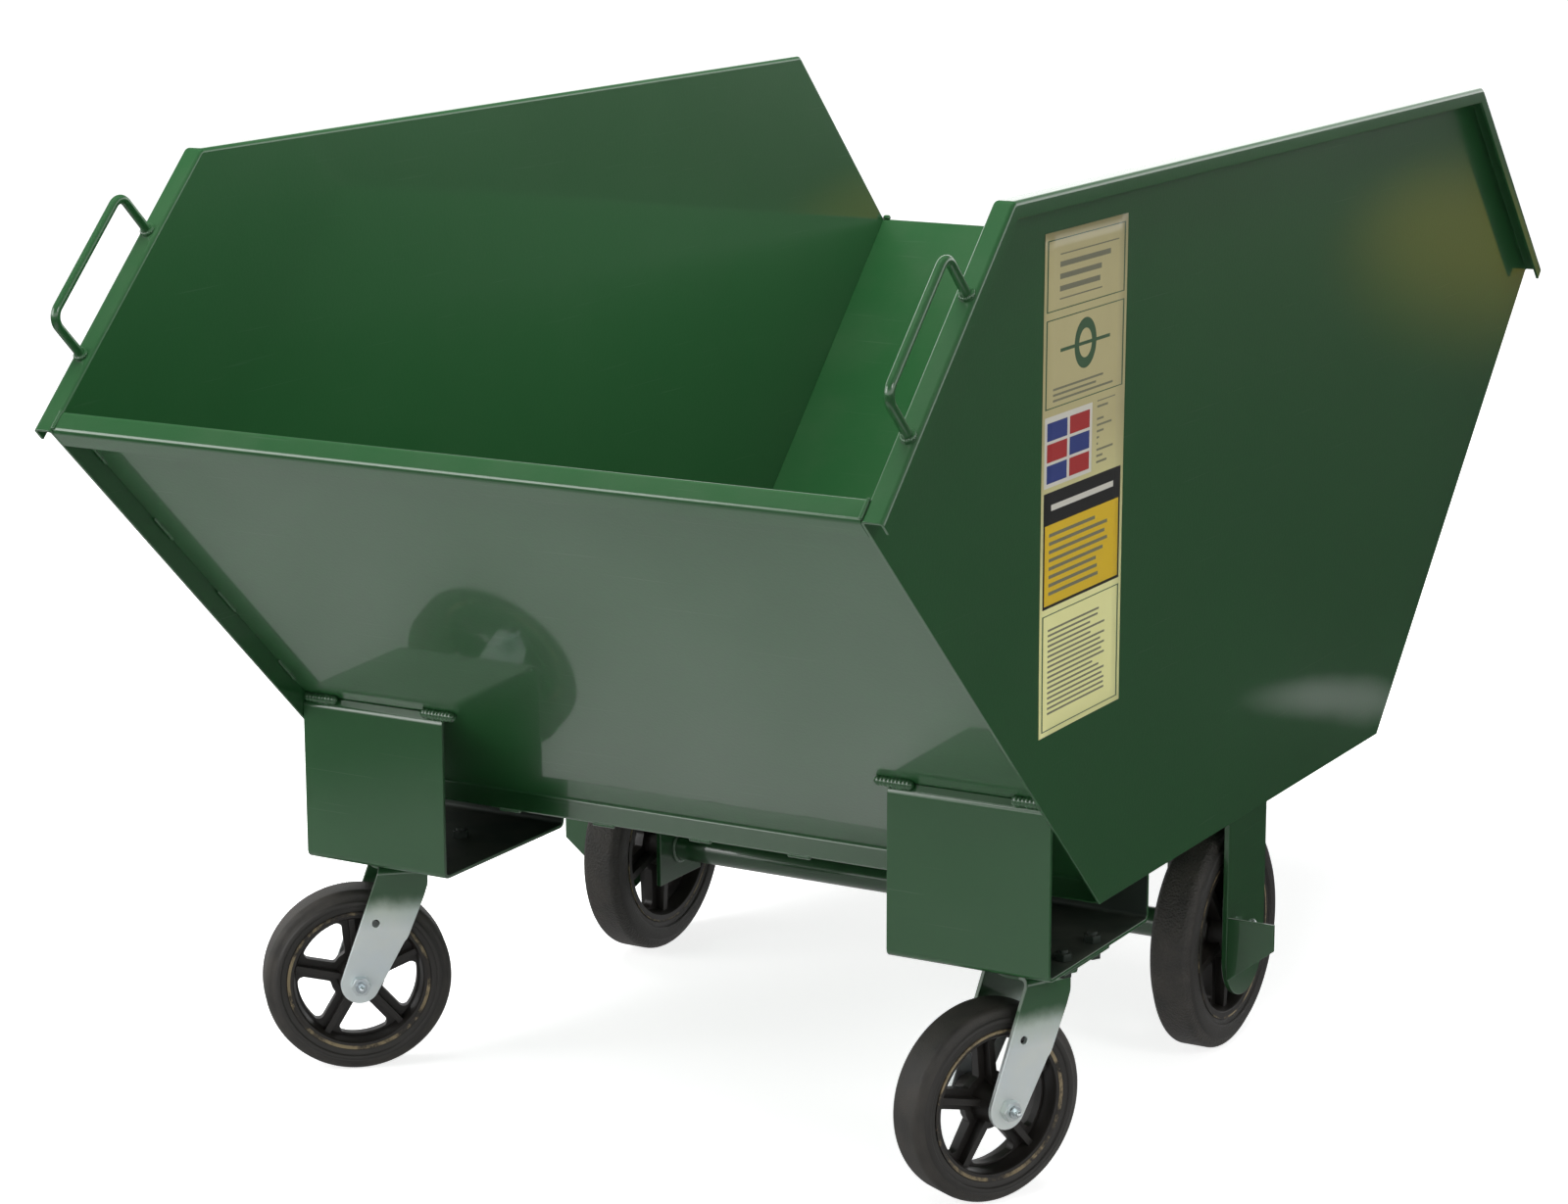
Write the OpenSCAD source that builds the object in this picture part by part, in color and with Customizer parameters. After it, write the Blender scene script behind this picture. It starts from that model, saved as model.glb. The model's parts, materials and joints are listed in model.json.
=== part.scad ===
// Wheeled waste cart: an open, six-sided sheet-steel hopper that is pushed by two rod
// handles, rolls on two swivel casters and two large fixed wheels, and is emptied over
// its rear lip. Millimetres. The origin is on the floor below the middle of the hopper,
// +X is the side with the label, -Y the handle and caster end, +Z up.

/* [Hopper] */
// Length between the front lip and the rear lip
body_length = 1699; // [1600:1:1800]
// Width over the outer faces of the side panels
panel_width = 885; // [840:1:930]
// Height of the level top edge of the side panels
rim_height = 1019; // [960:1:1080]
// Height of the front lip
front_lip_height = 772.5; // [740:0.5:810]
// Height of the rear lip
rear_lip_height = 781.5; // [750:0.5:820]
// Distance from the middle to the front end of the level top edge
rim_front = 603; // [560:1:640]
// Distance from the middle to the rear end of the level top edge
rim_rear = 617; // [580:1:650]
// Height of the underside of the floor sheet
floor_height = 300; // [285:1:315]
// Distance from the middle to the front edge of the floor
floor_front = 357.5; // [345:0.5:370]
// Distance from the middle to the rear edge of the floor
floor_rear = 390; // [370:1:410]
// Thickness of the sheet steel
sheet_t = 3; // [2.5:0.1:3.5]
// Width of the flange turned out along the side panels' top edges
flange_width = 19.5; // [15:0.5:24]
// Depth of the return lip on that flange
flange_lip = 16.5; // [12:0.5:20]
// Distance the front sheet is set in from the side panels' edges
front_recess = 25; // [20:1:30]
// Distance the rear sheet is set in from the side panels' edges
rear_recess = 12; // [10:1:20]
// Depth of the return lips on the front and rear sheets
end_lip = 25; // [15:1:30]

/* [Handles] */
// Diameter of the handle rod
rod_d = 9.5; // [8:0.5:12]
// Distance from the front lip to the first foot, along the flange
handle_start = 90.5; // [80:0.5:110]
// Distance between the two feet of a handle
handle_length = 153.3; // [130:0.1:180]
// Distance from the flange to the middle of the grip
handle_reach = 58; // [45:1:70]
// Bend radius at the middle of the rod
handle_bend = 14; // [10:1:20]

/* [Caster boxes] */
// Height of the box's underside, where the caster is bolted
box_height = 248; // [244:1:252]
// Distance from the middle of the cart to the box's inner end
box_inner = 262; // [240:1:280]
// Depth of the box from its front wall to its rear wall
box_depth = 231.3; // [215:0.1:245]
// Distance from the middle of the cart to the box's front wall
box_front = 464.4; // [455:0.1:475]
// Height of the front wall up to its bent top edge
box_wall_height = 418; // [410:1:424]
// Thickness of the box plate
box_t = 4; // [3:0.5:5]

/* [Casters] */
// Diameter of the caster wheel
caster_d = 203.2; // [195:0.2:206]
// Width of the caster tyre
caster_width = 50.8; // [45:0.2:52]
// Distance of the swivel axis from the cart's middle plane
swivel_x = 377.5; // [365:0.5:380]
// Distance of the swivel axis ahead of the middle
swivel_y = 366.4; // [355:0.1:370]
// Distance of the wheel's axle behind the swivel axis
caster_trail = 59; // [50:1:62]
// Angle of the left caster as it stands
left_turn = -48.7; // [-180:0.1:180]
// Angle of the right caster as it stands
right_turn = -26.9; // [-180:0.1:180]
// Thickness of the caster's top plate
plate_t = 6; // [5:0.5:8]
// Thickness of the fork legs
leg_t = 5; // [4:0.5:6]
// Clear width between the fork legs
fork_gap = 63.2; // [62:0.2:66]

/* [Rear wheels] */
// Diameter of the fixed wheel
rear_d = 254; // [248:1:256]
// Width of the fixed wheel's tyre
rear_width = 51; // [46:1:54]
// Distance of the wheel's middle plane from the cart's middle plane
rear_x = 362.5; // [358:0.5:366]
// Distance of the rear axle behind the middle
axle_y = 117.9; // [100:0.1:135]
// Diameter of the rear axle
axle_d = 19; // [16:0.5:20]
// Distance between the two leg plates beside a wheel
leg_gap = 63; // [62:0.5:66]
// Thickness of the leg plates
bracket_t = 6; // [5:0.5:8]

/* [Hidden] */
$fn = 96;

left = -1;
right = 1;
enamel = "#2d6b3c";
zinc = "#b9c0c4";
rubber = "#2b2b2b";
core_black = "#1a1a1a";
vinyl = "#c9bd85";

// Corners of the side panel as (Y, Z)
front_lip = [-body_length / 2, front_lip_height];
rim_start = [-rim_front, rim_height];
rim_end = [rim_rear, rim_height];
rear_lip = [body_length / 2, rear_lip_height];
floor_end = [floor_rear, floor_height];
floor_start = [-floor_front, floor_height];
rim_corner_r = 9;

// Gaps between welded neighbours, and between sheets that meet at an edge
weld_gap = 0.2;
sheet_half = panel_width / 2 - sheet_t - weld_gap;

// Directions along and across the sloping front sheet and rear sheet
front_along = unit(floor_start - front_lip);
front_across = [-front_along[1], front_along[0]];
rear_along = unit(rear_lip - floor_end);
rear_across = [-rear_along[1], rear_along[0]];
handle_along = unit(rim_start - front_lip);

// Line of the rear sheet's inner face, carried down past the floor
rear_start = floor_end + rear_recess * rear_across;
function on_rear_sheet(z) = rear_start + rear_along * (z - rear_start[1]) / rear_along[1];

// Swivel: ball ring between the top plate and the fork's crown
crown_t = 6;
crown_r = 42;
race_h = 4;
bearing_h = 10;
crown_top = box_height - plate_t - bearing_h;
race_r = 30;
race_half_w = 8;
ball_r = 4;
ball_count = 16;
race_z = crown_top + (bearing_h - race_h) / 2;
race_gap = 0.3;
kingpin_r = 8;
kingpin_head_r = 14;
kingpin_head_sink = 4;
kingpin_head_h = 3.8;
kingpin_nut_r = 14;
kingpin_nut_h = 10;
kingpin_end = 3;
running_fit = 0.05;
part_gap = 0.05;
plate_x = 114;
plate_y = 102;
bolt_x = 92;
bolt_y = 66.7;
bolt_r = 5;
bolt_head_r = 9.2;
bolt_head_h = 6.4;
bolt_clear = 0.4;
bolt_nut_h = 8;
bolt_end = 3;
cut_over = 1;

// Caster wheel and its axle
caster_r = caster_d / 2;
caster_core_r = 76;
caster_rim_t = 7;
caster_hub_r = 20;
caster_hub_half = 30.15;
leg_half = fork_gap / 2;
caster_rim_half = 22;
caster_web_w = 20;
caster_shoulder_r = 10;
spoke_phase = 41;
axle_bolt_r = 6.35;
axle_hex_r = 10.9;
axle_head_h = 8;
axle_nut_h = 9;
axle_bolt_end = 3;
axle_clear = 0.15;
fitting_hex_r = 4;
fitting_hex_h = 2.5;
fitting_neck_r = 2.6;
fitting_neck_h = 5;
fitting_ball_r = 3;
hub_washer_r = 16;
hub_washer_t = 1;
hub_washer_gap = 0.1;
sleeve_r = 9.5;
roller_r = 2.62;
roller_ring_r = 12.2;
hub_bore_r = 14.9;
roller_count = 14;
roller_end = 1;

// Fork leg outline, measured from the swivel axis and the floor
leg_foot_r = 21;
leg_top_back = [-35, crown_top];
leg_knee = [-7, 150];
leg_shoulder = [12, 197];
leg_top_front = [16.5, 211];
leg_hole = [-40.5, 169.5];
leg_hole_r = 4.2;

// Rear wheel and axle
rear_r = rear_d / 2;
rear_core_r = 92;
rear_rim_t = 8;
rear_hub_r = 25;
rear_hub_half = 29.5;
rear_rim_half = 23;
rear_web_w = 26;
rear_shoulder_r = 11;
rear_bore_r = 16;
rear_roller_r = 3.15;
rear_roller_ring_r = 12.75;
rear_roller_count = 12;
axle_r = axle_d / 2;
axle_half = 413;
tube_outer_r = 16.7;
tube_inner_r = 13.3;
inner_leg_face = rear_x - leg_gap / 2 - bracket_t;
outer_leg_face = rear_x + leg_gap / 2;
outer_leg_w = 104;
outer_leg_foot_z = 114;
inner_leg_w = 92;
inner_leg_bottom = 88;
axle_drill_half = 500;
washer_t = 1.5;
washer_r = 17;
cotter_x = 408;
cotter_r = 1.6;
cotter_half = 14;
cotter_eye_r = 3.4;
cotter_wire_r = 1.2;
guard_t = 4;
guard_w = 54;
guard_top = 162;
guard_corner = 132;
guard_bottom = 90;

// Wheel core proportions: centre rib, web and rib height against the rim
rib_share = 0.32;
web_share = 0.45;
rib_half_share = 0.8;
spokes = 5;

// Label outline on the panel, and its thickness
label_y = [-501, -320];
label_z = [500, 977];
label_t = 0.3;

function unit(v) = v / norm(v);
function right_of(a, b) = let(d = unit(b - a)) [d[1], -d[0]];
function turned(a, b, c, t) =
    let(m = right_of(a, b), n = right_of(b, c)) b + t * (m + n) / (1 + m * n);

// The open line p moved sideways to its right by t
function beside(p, t) = [
    for (i = [0 : len(p) - 1])
        i == 0 ? p[0] + t * right_of(p[0], p[1])
        : i == len(p) - 1 ? p[i] + t * right_of(p[i - 1], p[i])
        : turned(p[i - 1], p[i], p[i + 1], t)
];

function reversed(p) = [for (i = [len(p) - 1 : -1 : 0]) p[i]];

// Points of a fillet of radius r at the corner b between a and c, all turning right
function fillet(a, b, c, r, steps = 5) =
    let(
        m = right_of(a, b),
        n = right_of(b, c),
        middle = turned(a, b, c, r),
        first = atan2(-m[1], -m[0]),
        sweep = -acos(m * n)
    )
    [for (i = [0 : steps]) let(w = first + sweep * i / steps) middle + r * [cos(w), sin(w)]];

// Sheet of thickness t folded along the open line p
module folded(p, t) {
    polygon(concat(p, reversed(beside(p, t))));
}

// Shape drawn in (Y, Z) and extruded along X from x0 to x1
module across(x0, x1) {
    translate([x0, 0, 0])
        rotate([90, 0, 90])
            linear_extrude(x1 - x0)
                children();
}

module mirrored(side) {
    mirror([side == left ? 1 : 0, 0, 0])
        children();
}

module tube_ring(outer_r, inner_r, h) {
    difference() {
        cylinder(r = outer_r, h = h);
        translate([0, 0, -cut_over])
            cylinder(r = inner_r, h = h + 2 * cut_over);
    }
}

// ---- Hopper ----

function top_edge() = concat(
    [front_lip],
    fillet(front_lip, rim_start, rim_end, rim_corner_r),
    fillet(rim_start, rim_end, rear_lip, rim_corner_r),
    [rear_lip]
);

// Band along the top edge, from the panel's outline down to the given depth
module edge_band(depth) {
    polygon(concat(
        top_edge(),
        reversed(beside([front_lip, rim_start, rim_end, rear_lip], depth))
    ));
}

module side_panel(side) {
    outer = panel_width / 2;
    color(enamel)
        mirrored(side)
            union() {
                across(outer - sheet_t, outer)
                    polygon(concat(top_edge(), [floor_end, floor_start]));
                across(outer - sheet_t, outer + flange_width)
                    edge_band(sheet_t);
                across(outer + flange_width - sheet_t, outer + flange_width)
                    edge_band(flange_lip);
            }
}

module front_sheet() {
    color(enamel)
        across(-sheet_half, sheet_half)
            folded([
                front_lip + end_lip * front_along,
                front_lip,
                front_lip + front_recess * front_across,
                floor_start + front_recess * front_across,
                floor_start
            ], sheet_t);
}

module floor_sheet() {
    color(enamel)
        across(-sheet_half, sheet_half)
            polygon([
                floor_start + [sheet_t, 0],
                on_rear_sheet(floor_height) - [2 * weld_gap, 0],
                on_rear_sheet(floor_height + sheet_t) - [2 * weld_gap, 0],
                floor_start + [2 * sheet_t, sheet_t]
            ]);
}

module rear_sheet() {
    color(enamel)
        across(-sheet_half, sheet_half)
            folded([
                on_rear_sheet(floor_height + sheet_t * rear_across[1]),
                rear_lip + rear_recess * rear_across,
                rear_lip,
                rear_lip - end_lip * rear_along
            ], sheet_t);
}

module rod(h) {
    cylinder(d = rod_d, h = h);
}

// Drawn with X along the flange and Z away from it, then laid on the flange
module handle(side) {
    tilt = atan2(handle_along[1], handle_along[0]);
    color(enamel)
        mirrored(side)
            translate([panel_width / 2 + flange_width / 2, front_lip[0], front_lip[1]])
                rotate([tilt, 0, 0])
                    rotate([0, 0, 90])
                        translate([handle_start, 0, 0])
                            handle_rod();
}

module handle_rod() {
    straight = handle_reach - handle_bend;
    union() {
        rod(straight);
        translate([handle_length, 0, 0])
            rod(straight);
        translate([handle_bend, 0, handle_reach])
            rotate([0, 90, 0])
                rod(handle_length - 2 * handle_bend);
        translate([handle_bend, 0, straight])
            rod_bend(180);
        translate([handle_length - handle_bend, 0, straight])
            rod_bend(90);
    }
}

// A quarter ring in the X-Z plane that ends at the angle given
module rod_bend(end_angle) {
    rotate([90, 0, 0])
        rotate([0, 0, end_angle - 90])
            rotate_extrude(angle = 90)
                translate([handle_bend, 0])
                    circle(d = rod_d);
}

module label() {
    color(vinyl)
        translate([panel_width / 2, label_y[0], label_z[0]])
            cube([label_t, label_y[1] - label_y[0], label_z[1] - label_z[0]]);
}

// ---- Caster boxes ----

// Distance inwards from the line between the front lip and the floor
function front_depth(p) = (p - front_lip) * front_across;

module caster_box(side) {
    wall_top = [-box_front, box_wall_height];
    sheet_face = front_recess - sheet_t - weld_gap;
    tuck = sheet_face - front_depth(wall_top);
    box_rear = -box_front + box_depth;
    color(enamel)
        mirrored(side)
            difference() {
                across(box_inner, sheet_half)
                    folded([
                        [box_rear, floor_height - weld_gap],
                        [box_rear, box_height],
                        [-box_front, box_height],
                        wall_top,
                        wall_top + tuck * front_across
                    ], box_t);
                bolt_places()
                    translate([0, 0, box_height - cut_over])
                        cylinder(r = bolt_r + bolt_clear, h = box_t + 2 * cut_over);
            }
}

// The four bolt positions around the swivel axis, on the +X side
module bolt_places() {
    for (x = [-bolt_x / 2, bolt_x / 2], y = [-bolt_y / 2, bolt_y / 2])
        translate([swivel_x + x, -swivel_y + y, 0])
            children();
}

// ---- Fixed parts of the casters ----

module caster_plate(side) {
    color(zinc)
        mirrored(side)
            difference() {
                union() {
                    translate([swivel_x - plate_x / 2, -swivel_y - plate_y / 2, box_height - plate_t])
                        cube([plate_x, plate_y, plate_t - part_gap]);
                    translate([swivel_x, -swivel_y, box_height - plate_t - race_h])
                        cylinder(r = race_r + race_half_w, h = race_h + cut_over);
                }
                bolt_places()
                    translate([0, 0, box_height - plate_t - cut_over])
                        cylinder(r = bolt_r + bolt_clear, h = plate_t + 2 * cut_over);
                translate([swivel_x, -swivel_y, 0]) {
                    translate([0, 0, crown_top])
                        cylinder(r = kingpin_r + part_gap, h = bearing_h + plate_t + cut_over);
                    translate([0, 0, box_height - kingpin_head_sink])
                        cylinder(r = kingpin_head_r + part_gap, h = kingpin_head_sink + cut_over);
                    translate([0, 0, race_z])
                        ring_groove(ball_r + race_gap);
                }
            }
}

module ring_groove(r) {
    rotate_extrude()
        translate([race_r, 0])
            circle(r = r);
}

module kingpin(side) {
    bottom = crown_top - crown_t - race_gap - kingpin_nut_h - kingpin_end;
    head_z = box_height - kingpin_head_sink + part_gap;
    color(zinc)
        mirrored(side)
            translate([swivel_x, -swivel_y, 0])
                union() {
                    translate([0, 0, bottom])
                        cylinder(r = kingpin_r, h = head_z + kingpin_head_h / 2 - bottom);
                    translate([0, 0, head_z])
                        cylinder(r = kingpin_head_r, h = kingpin_head_h);
                }
}

module kingpin_nut(side) {
    color(zinc)
        mirrored(side)
            translate([swivel_x, -swivel_y, crown_top - crown_t - race_gap - kingpin_nut_h])
                hex_nut(kingpin_r, kingpin_nut_r, kingpin_nut_h);
}

module hex_nut(bore_r, corner_r, h) {
    difference() {
        cylinder(r = corner_r, h = h, $fn = 6);
        translate([0, 0, -cut_over])
            cylinder(r = bore_r + part_gap, h = h + 2 * cut_over);
    }
}

module caster_bolts(side) {
    head_z = box_height - plate_t - bolt_head_h;
    shank_top = box_height + box_t + bolt_nut_h + bolt_end;
    color(zinc)
        mirrored(side)
            bolt_places() {
                translate([0, 0, head_z])
                    cylinder(r = bolt_head_r, h = bolt_head_h - part_gap, $fn = 6);
                translate([0, 0, head_z + bolt_head_h / 2])
                    cylinder(r = bolt_r, h = shank_top - head_z - bolt_head_h / 2);
            }
}

module caster_nuts(side) {
    color(zinc)
        mirrored(side)
            bolt_places()
                translate([0, 0, box_height + box_t + part_gap])
                    hex_nut(bolt_r, bolt_head_r, bolt_nut_h);
}

// ---- Turning parts of the casters ----

// Places a caster's turning parts. In here the axle runs along X and the wheel
// trails behind the swivel axis, towards -Y.
module on_swivel(side) {
    translate([side * swivel_x, -swivel_y, 0])
        rotate([0, 0, side == left ? left_turn : right_turn])
            children();
}

module on_caster_axle(side) {
    on_swivel(side)
        translate([0, -caster_trail, caster_r])
            rotate([0, 90, 0])
                children();
}

// Points where a line from p touches the circle round c, on its left or right side
function touch(c, r, p, side) =
    let(
        d = p - c,
        facing = atan2(d[1], d[0]),
        w = facing + side * acos(r / norm(d))
    )
    c + r * [cos(w), sin(w)];

module fork_leg_outline() {
    axle = [-caster_trail, caster_r];
    difference() {
        union() {
            polygon([
                touch(axle, leg_foot_r, leg_top_back, 1),
                leg_top_back,
                [leg_top_front[0], crown_top],
                leg_top_front,
                leg_shoulder,
                leg_knee,
                touch(axle, leg_foot_r, leg_knee, -1),
                axle
            ]);
            translate(axle)
                circle(r = leg_foot_r);
        }
        translate(axle)
            circle(r = axle_bolt_r + axle_clear);
        translate(leg_hole)
            circle(r = leg_hole_r);
    }
}

module caster_fork(side) {
    crown_z = crown_top - crown_t;
    color(zinc)
        on_swivel(side)
            difference() {
                union() {
                    translate([0, 0, crown_z])
                        intersection() {
                            cylinder(r = crown_r, h = crown_t);
                            translate([-leg_half - leg_t, -crown_r, -cut_over])
                                cube([2 * (leg_half + leg_t), 2 * crown_r, crown_t + 2 * cut_over]);
                        }
                    translate([-leg_half - leg_t, leg_top_back[0], crown_z])
                        cube([2 * (leg_half + leg_t), leg_top_front[0] - leg_top_back[0], crown_t]);
                    across(leg_half, leg_half + leg_t)
                        fork_leg_outline();
                    across(-leg_half - leg_t, -leg_half)
                        fork_leg_outline();
                }
                translate([0, 0, crown_z - cut_over])
                    cylinder(r = kingpin_r + running_fit, h = crown_t + 2 * cut_over);
                translate([0, 0, race_z])
                    ring_groove(ball_r + part_gap);
            }
}

module swivel_balls(side) {
    color(zinc)
        on_swivel(side)
            for (i = [0 : ball_count - 1])
                rotate([0, 0, i * 360 / ball_count])
                    translate([race_r, 0, race_z])
                        sphere(r = ball_r, $fn = 32);
}

module axle_bolt(side) {
    reach = leg_half + leg_t;
    bolt_tip = reach + axle_nut_h + axle_bolt_end;
    color(zinc)
        on_caster_axle(side)
            union() {
                translate([0, 0, -reach - axle_head_h - part_gap])
                    cylinder(r = axle_hex_r, h = axle_head_h, $fn = 6);
                translate([0, 0, -reach - axle_head_h / 2])
                    cylinder(r = axle_bolt_r, h = bolt_tip + reach + axle_head_h / 2);
            }
}

module axle_nut(side) {
    color(zinc)
        on_caster_axle(side)
            translate([0, 0, leg_half + leg_t + part_gap])
                hex_nut(axle_bolt_r, axle_hex_r, axle_nut_h);
}

module grease_fitting(side) {
    color(zinc)
        on_caster_axle(side)
            translate([0, 0, leg_half + leg_t + axle_nut_h + axle_bolt_end + part_gap])
                union() {
                    cylinder(r = fitting_hex_r, h = fitting_hex_h, $fn = 6);
                    cylinder(r = fitting_neck_r, h = fitting_neck_h);
                    translate([0, 0, fitting_neck_h])
                        sphere(r = fitting_ball_r, $fn = 32);
                }
}

module axle_sleeve(side) {
    color(zinc)
        on_caster_axle(side)
            translate([0, 0, -leg_half + part_gap])
                tube_ring(sleeve_r, axle_bolt_r + part_gap, 2 * (leg_half - part_gap));
}

module hub_washers(side) {
    color(zinc)
        on_caster_axle(side)
            for (z = [-leg_half + hub_washer_gap, leg_half - hub_washer_gap - hub_washer_t])
                translate([0, 0, z])
                    tube_ring(hub_washer_r, sleeve_r + part_gap, hub_washer_t);
}

// ---- Wheels, drawn round the Z axis ----

module spoked_core(rim_r, rim_t, rim_half, hub_r, hub_half, bore_r, web_w, phase) {
    rib_w = web_w * rib_share;
    web_t = rim_half * web_share;
    rib_half = rim_half * rib_half_share;
    spoke_start = hub_r / 2;
    spoke_length = rim_r - rim_t - spoke_start + cut_over;
    difference() {
        union() {
            translate([0, 0, -rim_half])
                tube_ring(rim_r, rim_r - rim_t, 2 * rim_half);
            translate([0, 0, -hub_half])
                cylinder(r = hub_r, h = 2 * hub_half);
            for (i = [0 : spokes - 1])
                rotate([0, 0, phase + i * 360 / spokes]) {
                    translate([spoke_start, -web_w / 2, -web_t / 2])
                        cube([spoke_length, web_w, web_t]);
                    translate([spoke_start, -rib_w / 2, -rib_half])
                        cube([spoke_length, rib_w, 2 * rib_half]);
                }
        }
        translate([0, 0, -hub_half - cut_over])
            cylinder(r = bore_r, h = 2 * (hub_half + cut_over));
    }
}

module tyre(outer_r, inner_r, width, shoulder_r) {
    half = width / 2;
    rotate_extrude()
        union() {
            translate([inner_r, -half])
                square([outer_r - shoulder_r - inner_r, width]);
            translate([inner_r, -half + shoulder_r])
                square([outer_r - inner_r, width - 2 * shoulder_r]);
            for (y = [-half + shoulder_r, half - shoulder_r])
                translate([outer_r - shoulder_r, y])
                    circle(r = shoulder_r);
        }
}

module roller_ring(ring_r, r, count, half) {
    for (i = [0 : count - 1])
        rotate([0, 0, i * 360 / count])
            translate([ring_r, 0, -half])
                cylinder(r = r, h = 2 * half, $fn = 32);
}

module caster_core(side) {
    color(core_black)
        on_caster_axle(side)
            spoked_core(caster_core_r, caster_rim_t, caster_rim_half, caster_hub_r,
                caster_hub_half, hub_bore_r, caster_web_w, spoke_phase);
}

module caster_tyre(side) {
    color(rubber)
        on_caster_axle(side)
            tyre(caster_r, caster_core_r + part_gap, caster_width, caster_shoulder_r);
}

module caster_rollers(side) {
    color(zinc)
        on_caster_axle(side)
            roller_ring(roller_ring_r, roller_r, roller_count, caster_hub_half - roller_end);
}

module on_rear_axle(side) {
    translate([side * rear_x, axle_y, rear_r])
        rotate([0, 90, 0])
            children();
}

module rear_core(side) {
    color(core_black)
        on_rear_axle(side)
            spoked_core(rear_core_r, rear_rim_t, rear_rim_half, rear_hub_r,
                rear_hub_half, rear_bore_r, rear_web_w, 0);
}

module rear_tyre(side) {
    color(rubber)
        on_rear_axle(side)
            tyre(rear_r, rear_core_r + part_gap, rear_width, rear_shoulder_r);
}

module rear_rollers(side) {
    color(zinc)
        on_rear_axle(side)
            roller_ring(rear_roller_ring_r, rear_roller_r, rear_roller_count,
                rear_hub_half - roller_end);
}

// ---- Rear running gear ----

module axle_hole(r) {
    translate([0, axle_y, rear_r])
        rotate([0, 90, 0])
            cylinder(r = r, h = 2 * axle_drill_half, center = true);
}

module outer_leg(side) {
    color(enamel)
        mirrored(side)
            difference() {
                across(outer_leg_face, outer_leg_face + bracket_t)
                    union() {
                        translate([axle_y - outer_leg_w / 2, outer_leg_foot_z])
                            square([outer_leg_w, floor_height - weld_gap - outer_leg_foot_z]);
                        translate([axle_y, outer_leg_foot_z])
                            circle(d = outer_leg_w);
                    }
                axle_hole(axle_r + weld_gap);
            }
}

module inner_leg(side) {
    color(enamel)
        mirrored(side)
            difference() {
                across(inner_leg_face, inner_leg_face + bracket_t)
                    translate([axle_y - inner_leg_w / 2, inner_leg_bottom])
                        square([inner_leg_w, floor_height - weld_gap - inner_leg_bottom]);
                axle_hole(axle_r + weld_gap);
            }
}

module axle_guard(side) {
    inner = outer_leg_face + bracket_t + part_gap;
    outer = inner + guard_w;
    color(enamel)
        mirrored(side)
            translate([0, axle_y - outer_leg_w / 2 + guard_t, 0])
                rotate([90, 0, 0])
                    linear_extrude(guard_t)
                        polygon([
                            [inner, guard_top],
                            [outer, guard_top],
                            [outer, guard_corner],
                            [inner, guard_bottom]
                        ]);
}

module axle_tube() {
    half = inner_leg_face - part_gap;
    color(enamel)
        translate([-half, axle_y, rear_r])
            rotate([0, 90, 0])
                tube_ring(tube_outer_r, tube_inner_r, 2 * half);
}

module rear_axle() {
    color(zinc)
        difference() {
            translate([-axle_half, axle_y, rear_r])
                rotate([0, 90, 0])
                    cylinder(r = axle_r, h = 2 * axle_half);
            for (x = [-cotter_x, cotter_x])
                translate([x, axle_y, rear_r - axle_d])
                    cylinder(r = cotter_r + weld_gap, h = 2 * axle_d);
        }
}

module axle_washers() {
    inner_side = rear_x - leg_gap / 2 + part_gap;
    outer_side = outer_leg_face - washer_t - part_gap;
    beyond = outer_leg_face + bracket_t + part_gap;
    color(zinc)
        for (side = [left, right], x = [inner_side, outer_side, beyond])
            mirrored(side)
                translate([x, axle_y, rear_r])
                    rotate([0, 90, 0])
                        tube_ring(washer_r, axle_r + part_gap, washer_t);
}

module cotter_pins() {
    color(zinc)
        for (x = [-cotter_x, cotter_x])
            translate([x, axle_y, rear_r])
                union() {
                    translate([0, 0, -cotter_half])
                        cylinder(r = cotter_r, h = 2 * cotter_half);
                    translate([0, 0, cotter_half + cotter_eye_r])
                        rotate([90, 0, 0])
                            rotate_extrude()
                                translate([cotter_eye_r, 0])
                                    circle(r = cotter_wire_r);
                }
}

side_panel(left);  // side_panel_left
side_panel(right);  // side_panel_right
front_sheet();
floor_sheet();
rear_sheet();
handle(left);  // handle_left
handle(right);  // handle_right
caster_box(left);  // caster_box_left
caster_box(right);  // caster_box_right
outer_leg(left);  // outer_leg_left
outer_leg(right);  // outer_leg_right
inner_leg(left);  // inner_leg_left
inner_leg(right);  // inner_leg_right
axle_guard(left);  // axle_guard_left
axle_guard(right);  // axle_guard_right
axle_tube();
rear_axle();
axle_washers();
cotter_pins();
label();
caster_plate(left);  // caster_plate_left
caster_plate(right);  // caster_plate_right
kingpin(left);  // kingpin_left
kingpin(right);  // kingpin_right
kingpin_nut(left);  // kingpin_nut_left
kingpin_nut(right);  // kingpin_nut_right
caster_bolts(left);  // caster_bolts_left
caster_bolts(right);  // caster_bolts_right
caster_nuts(left);  // caster_nuts_left
caster_nuts(right);  // caster_nuts_right
caster_fork(left);  // caster_fork_left
caster_fork(right);  // caster_fork_right
swivel_balls(left);  // swivel_balls_left
swivel_balls(right);  // swivel_balls_right
axle_bolt(left);  // axle_bolt_left
axle_bolt(right);  // axle_bolt_right
axle_nut(left);  // axle_nut_left
axle_nut(right);  // axle_nut_right
axle_sleeve(left);  // axle_sleeve_left
axle_sleeve(right);  // axle_sleeve_right
hub_washers(left);  // hub_washers_left
hub_washers(right);  // hub_washers_right
grease_fitting(left);  // grease_fitting_left
grease_fitting(right);  // grease_fitting_right
caster_core(left);  // caster_core_left
caster_core(right);  // caster_core_right
caster_tyre(left);  // caster_tyre_left
caster_tyre(right);  // caster_tyre_right
caster_rollers(left);  // caster_rollers_left
caster_rollers(right);  // caster_rollers_right
rear_core(left);  // rear_core_left
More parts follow.
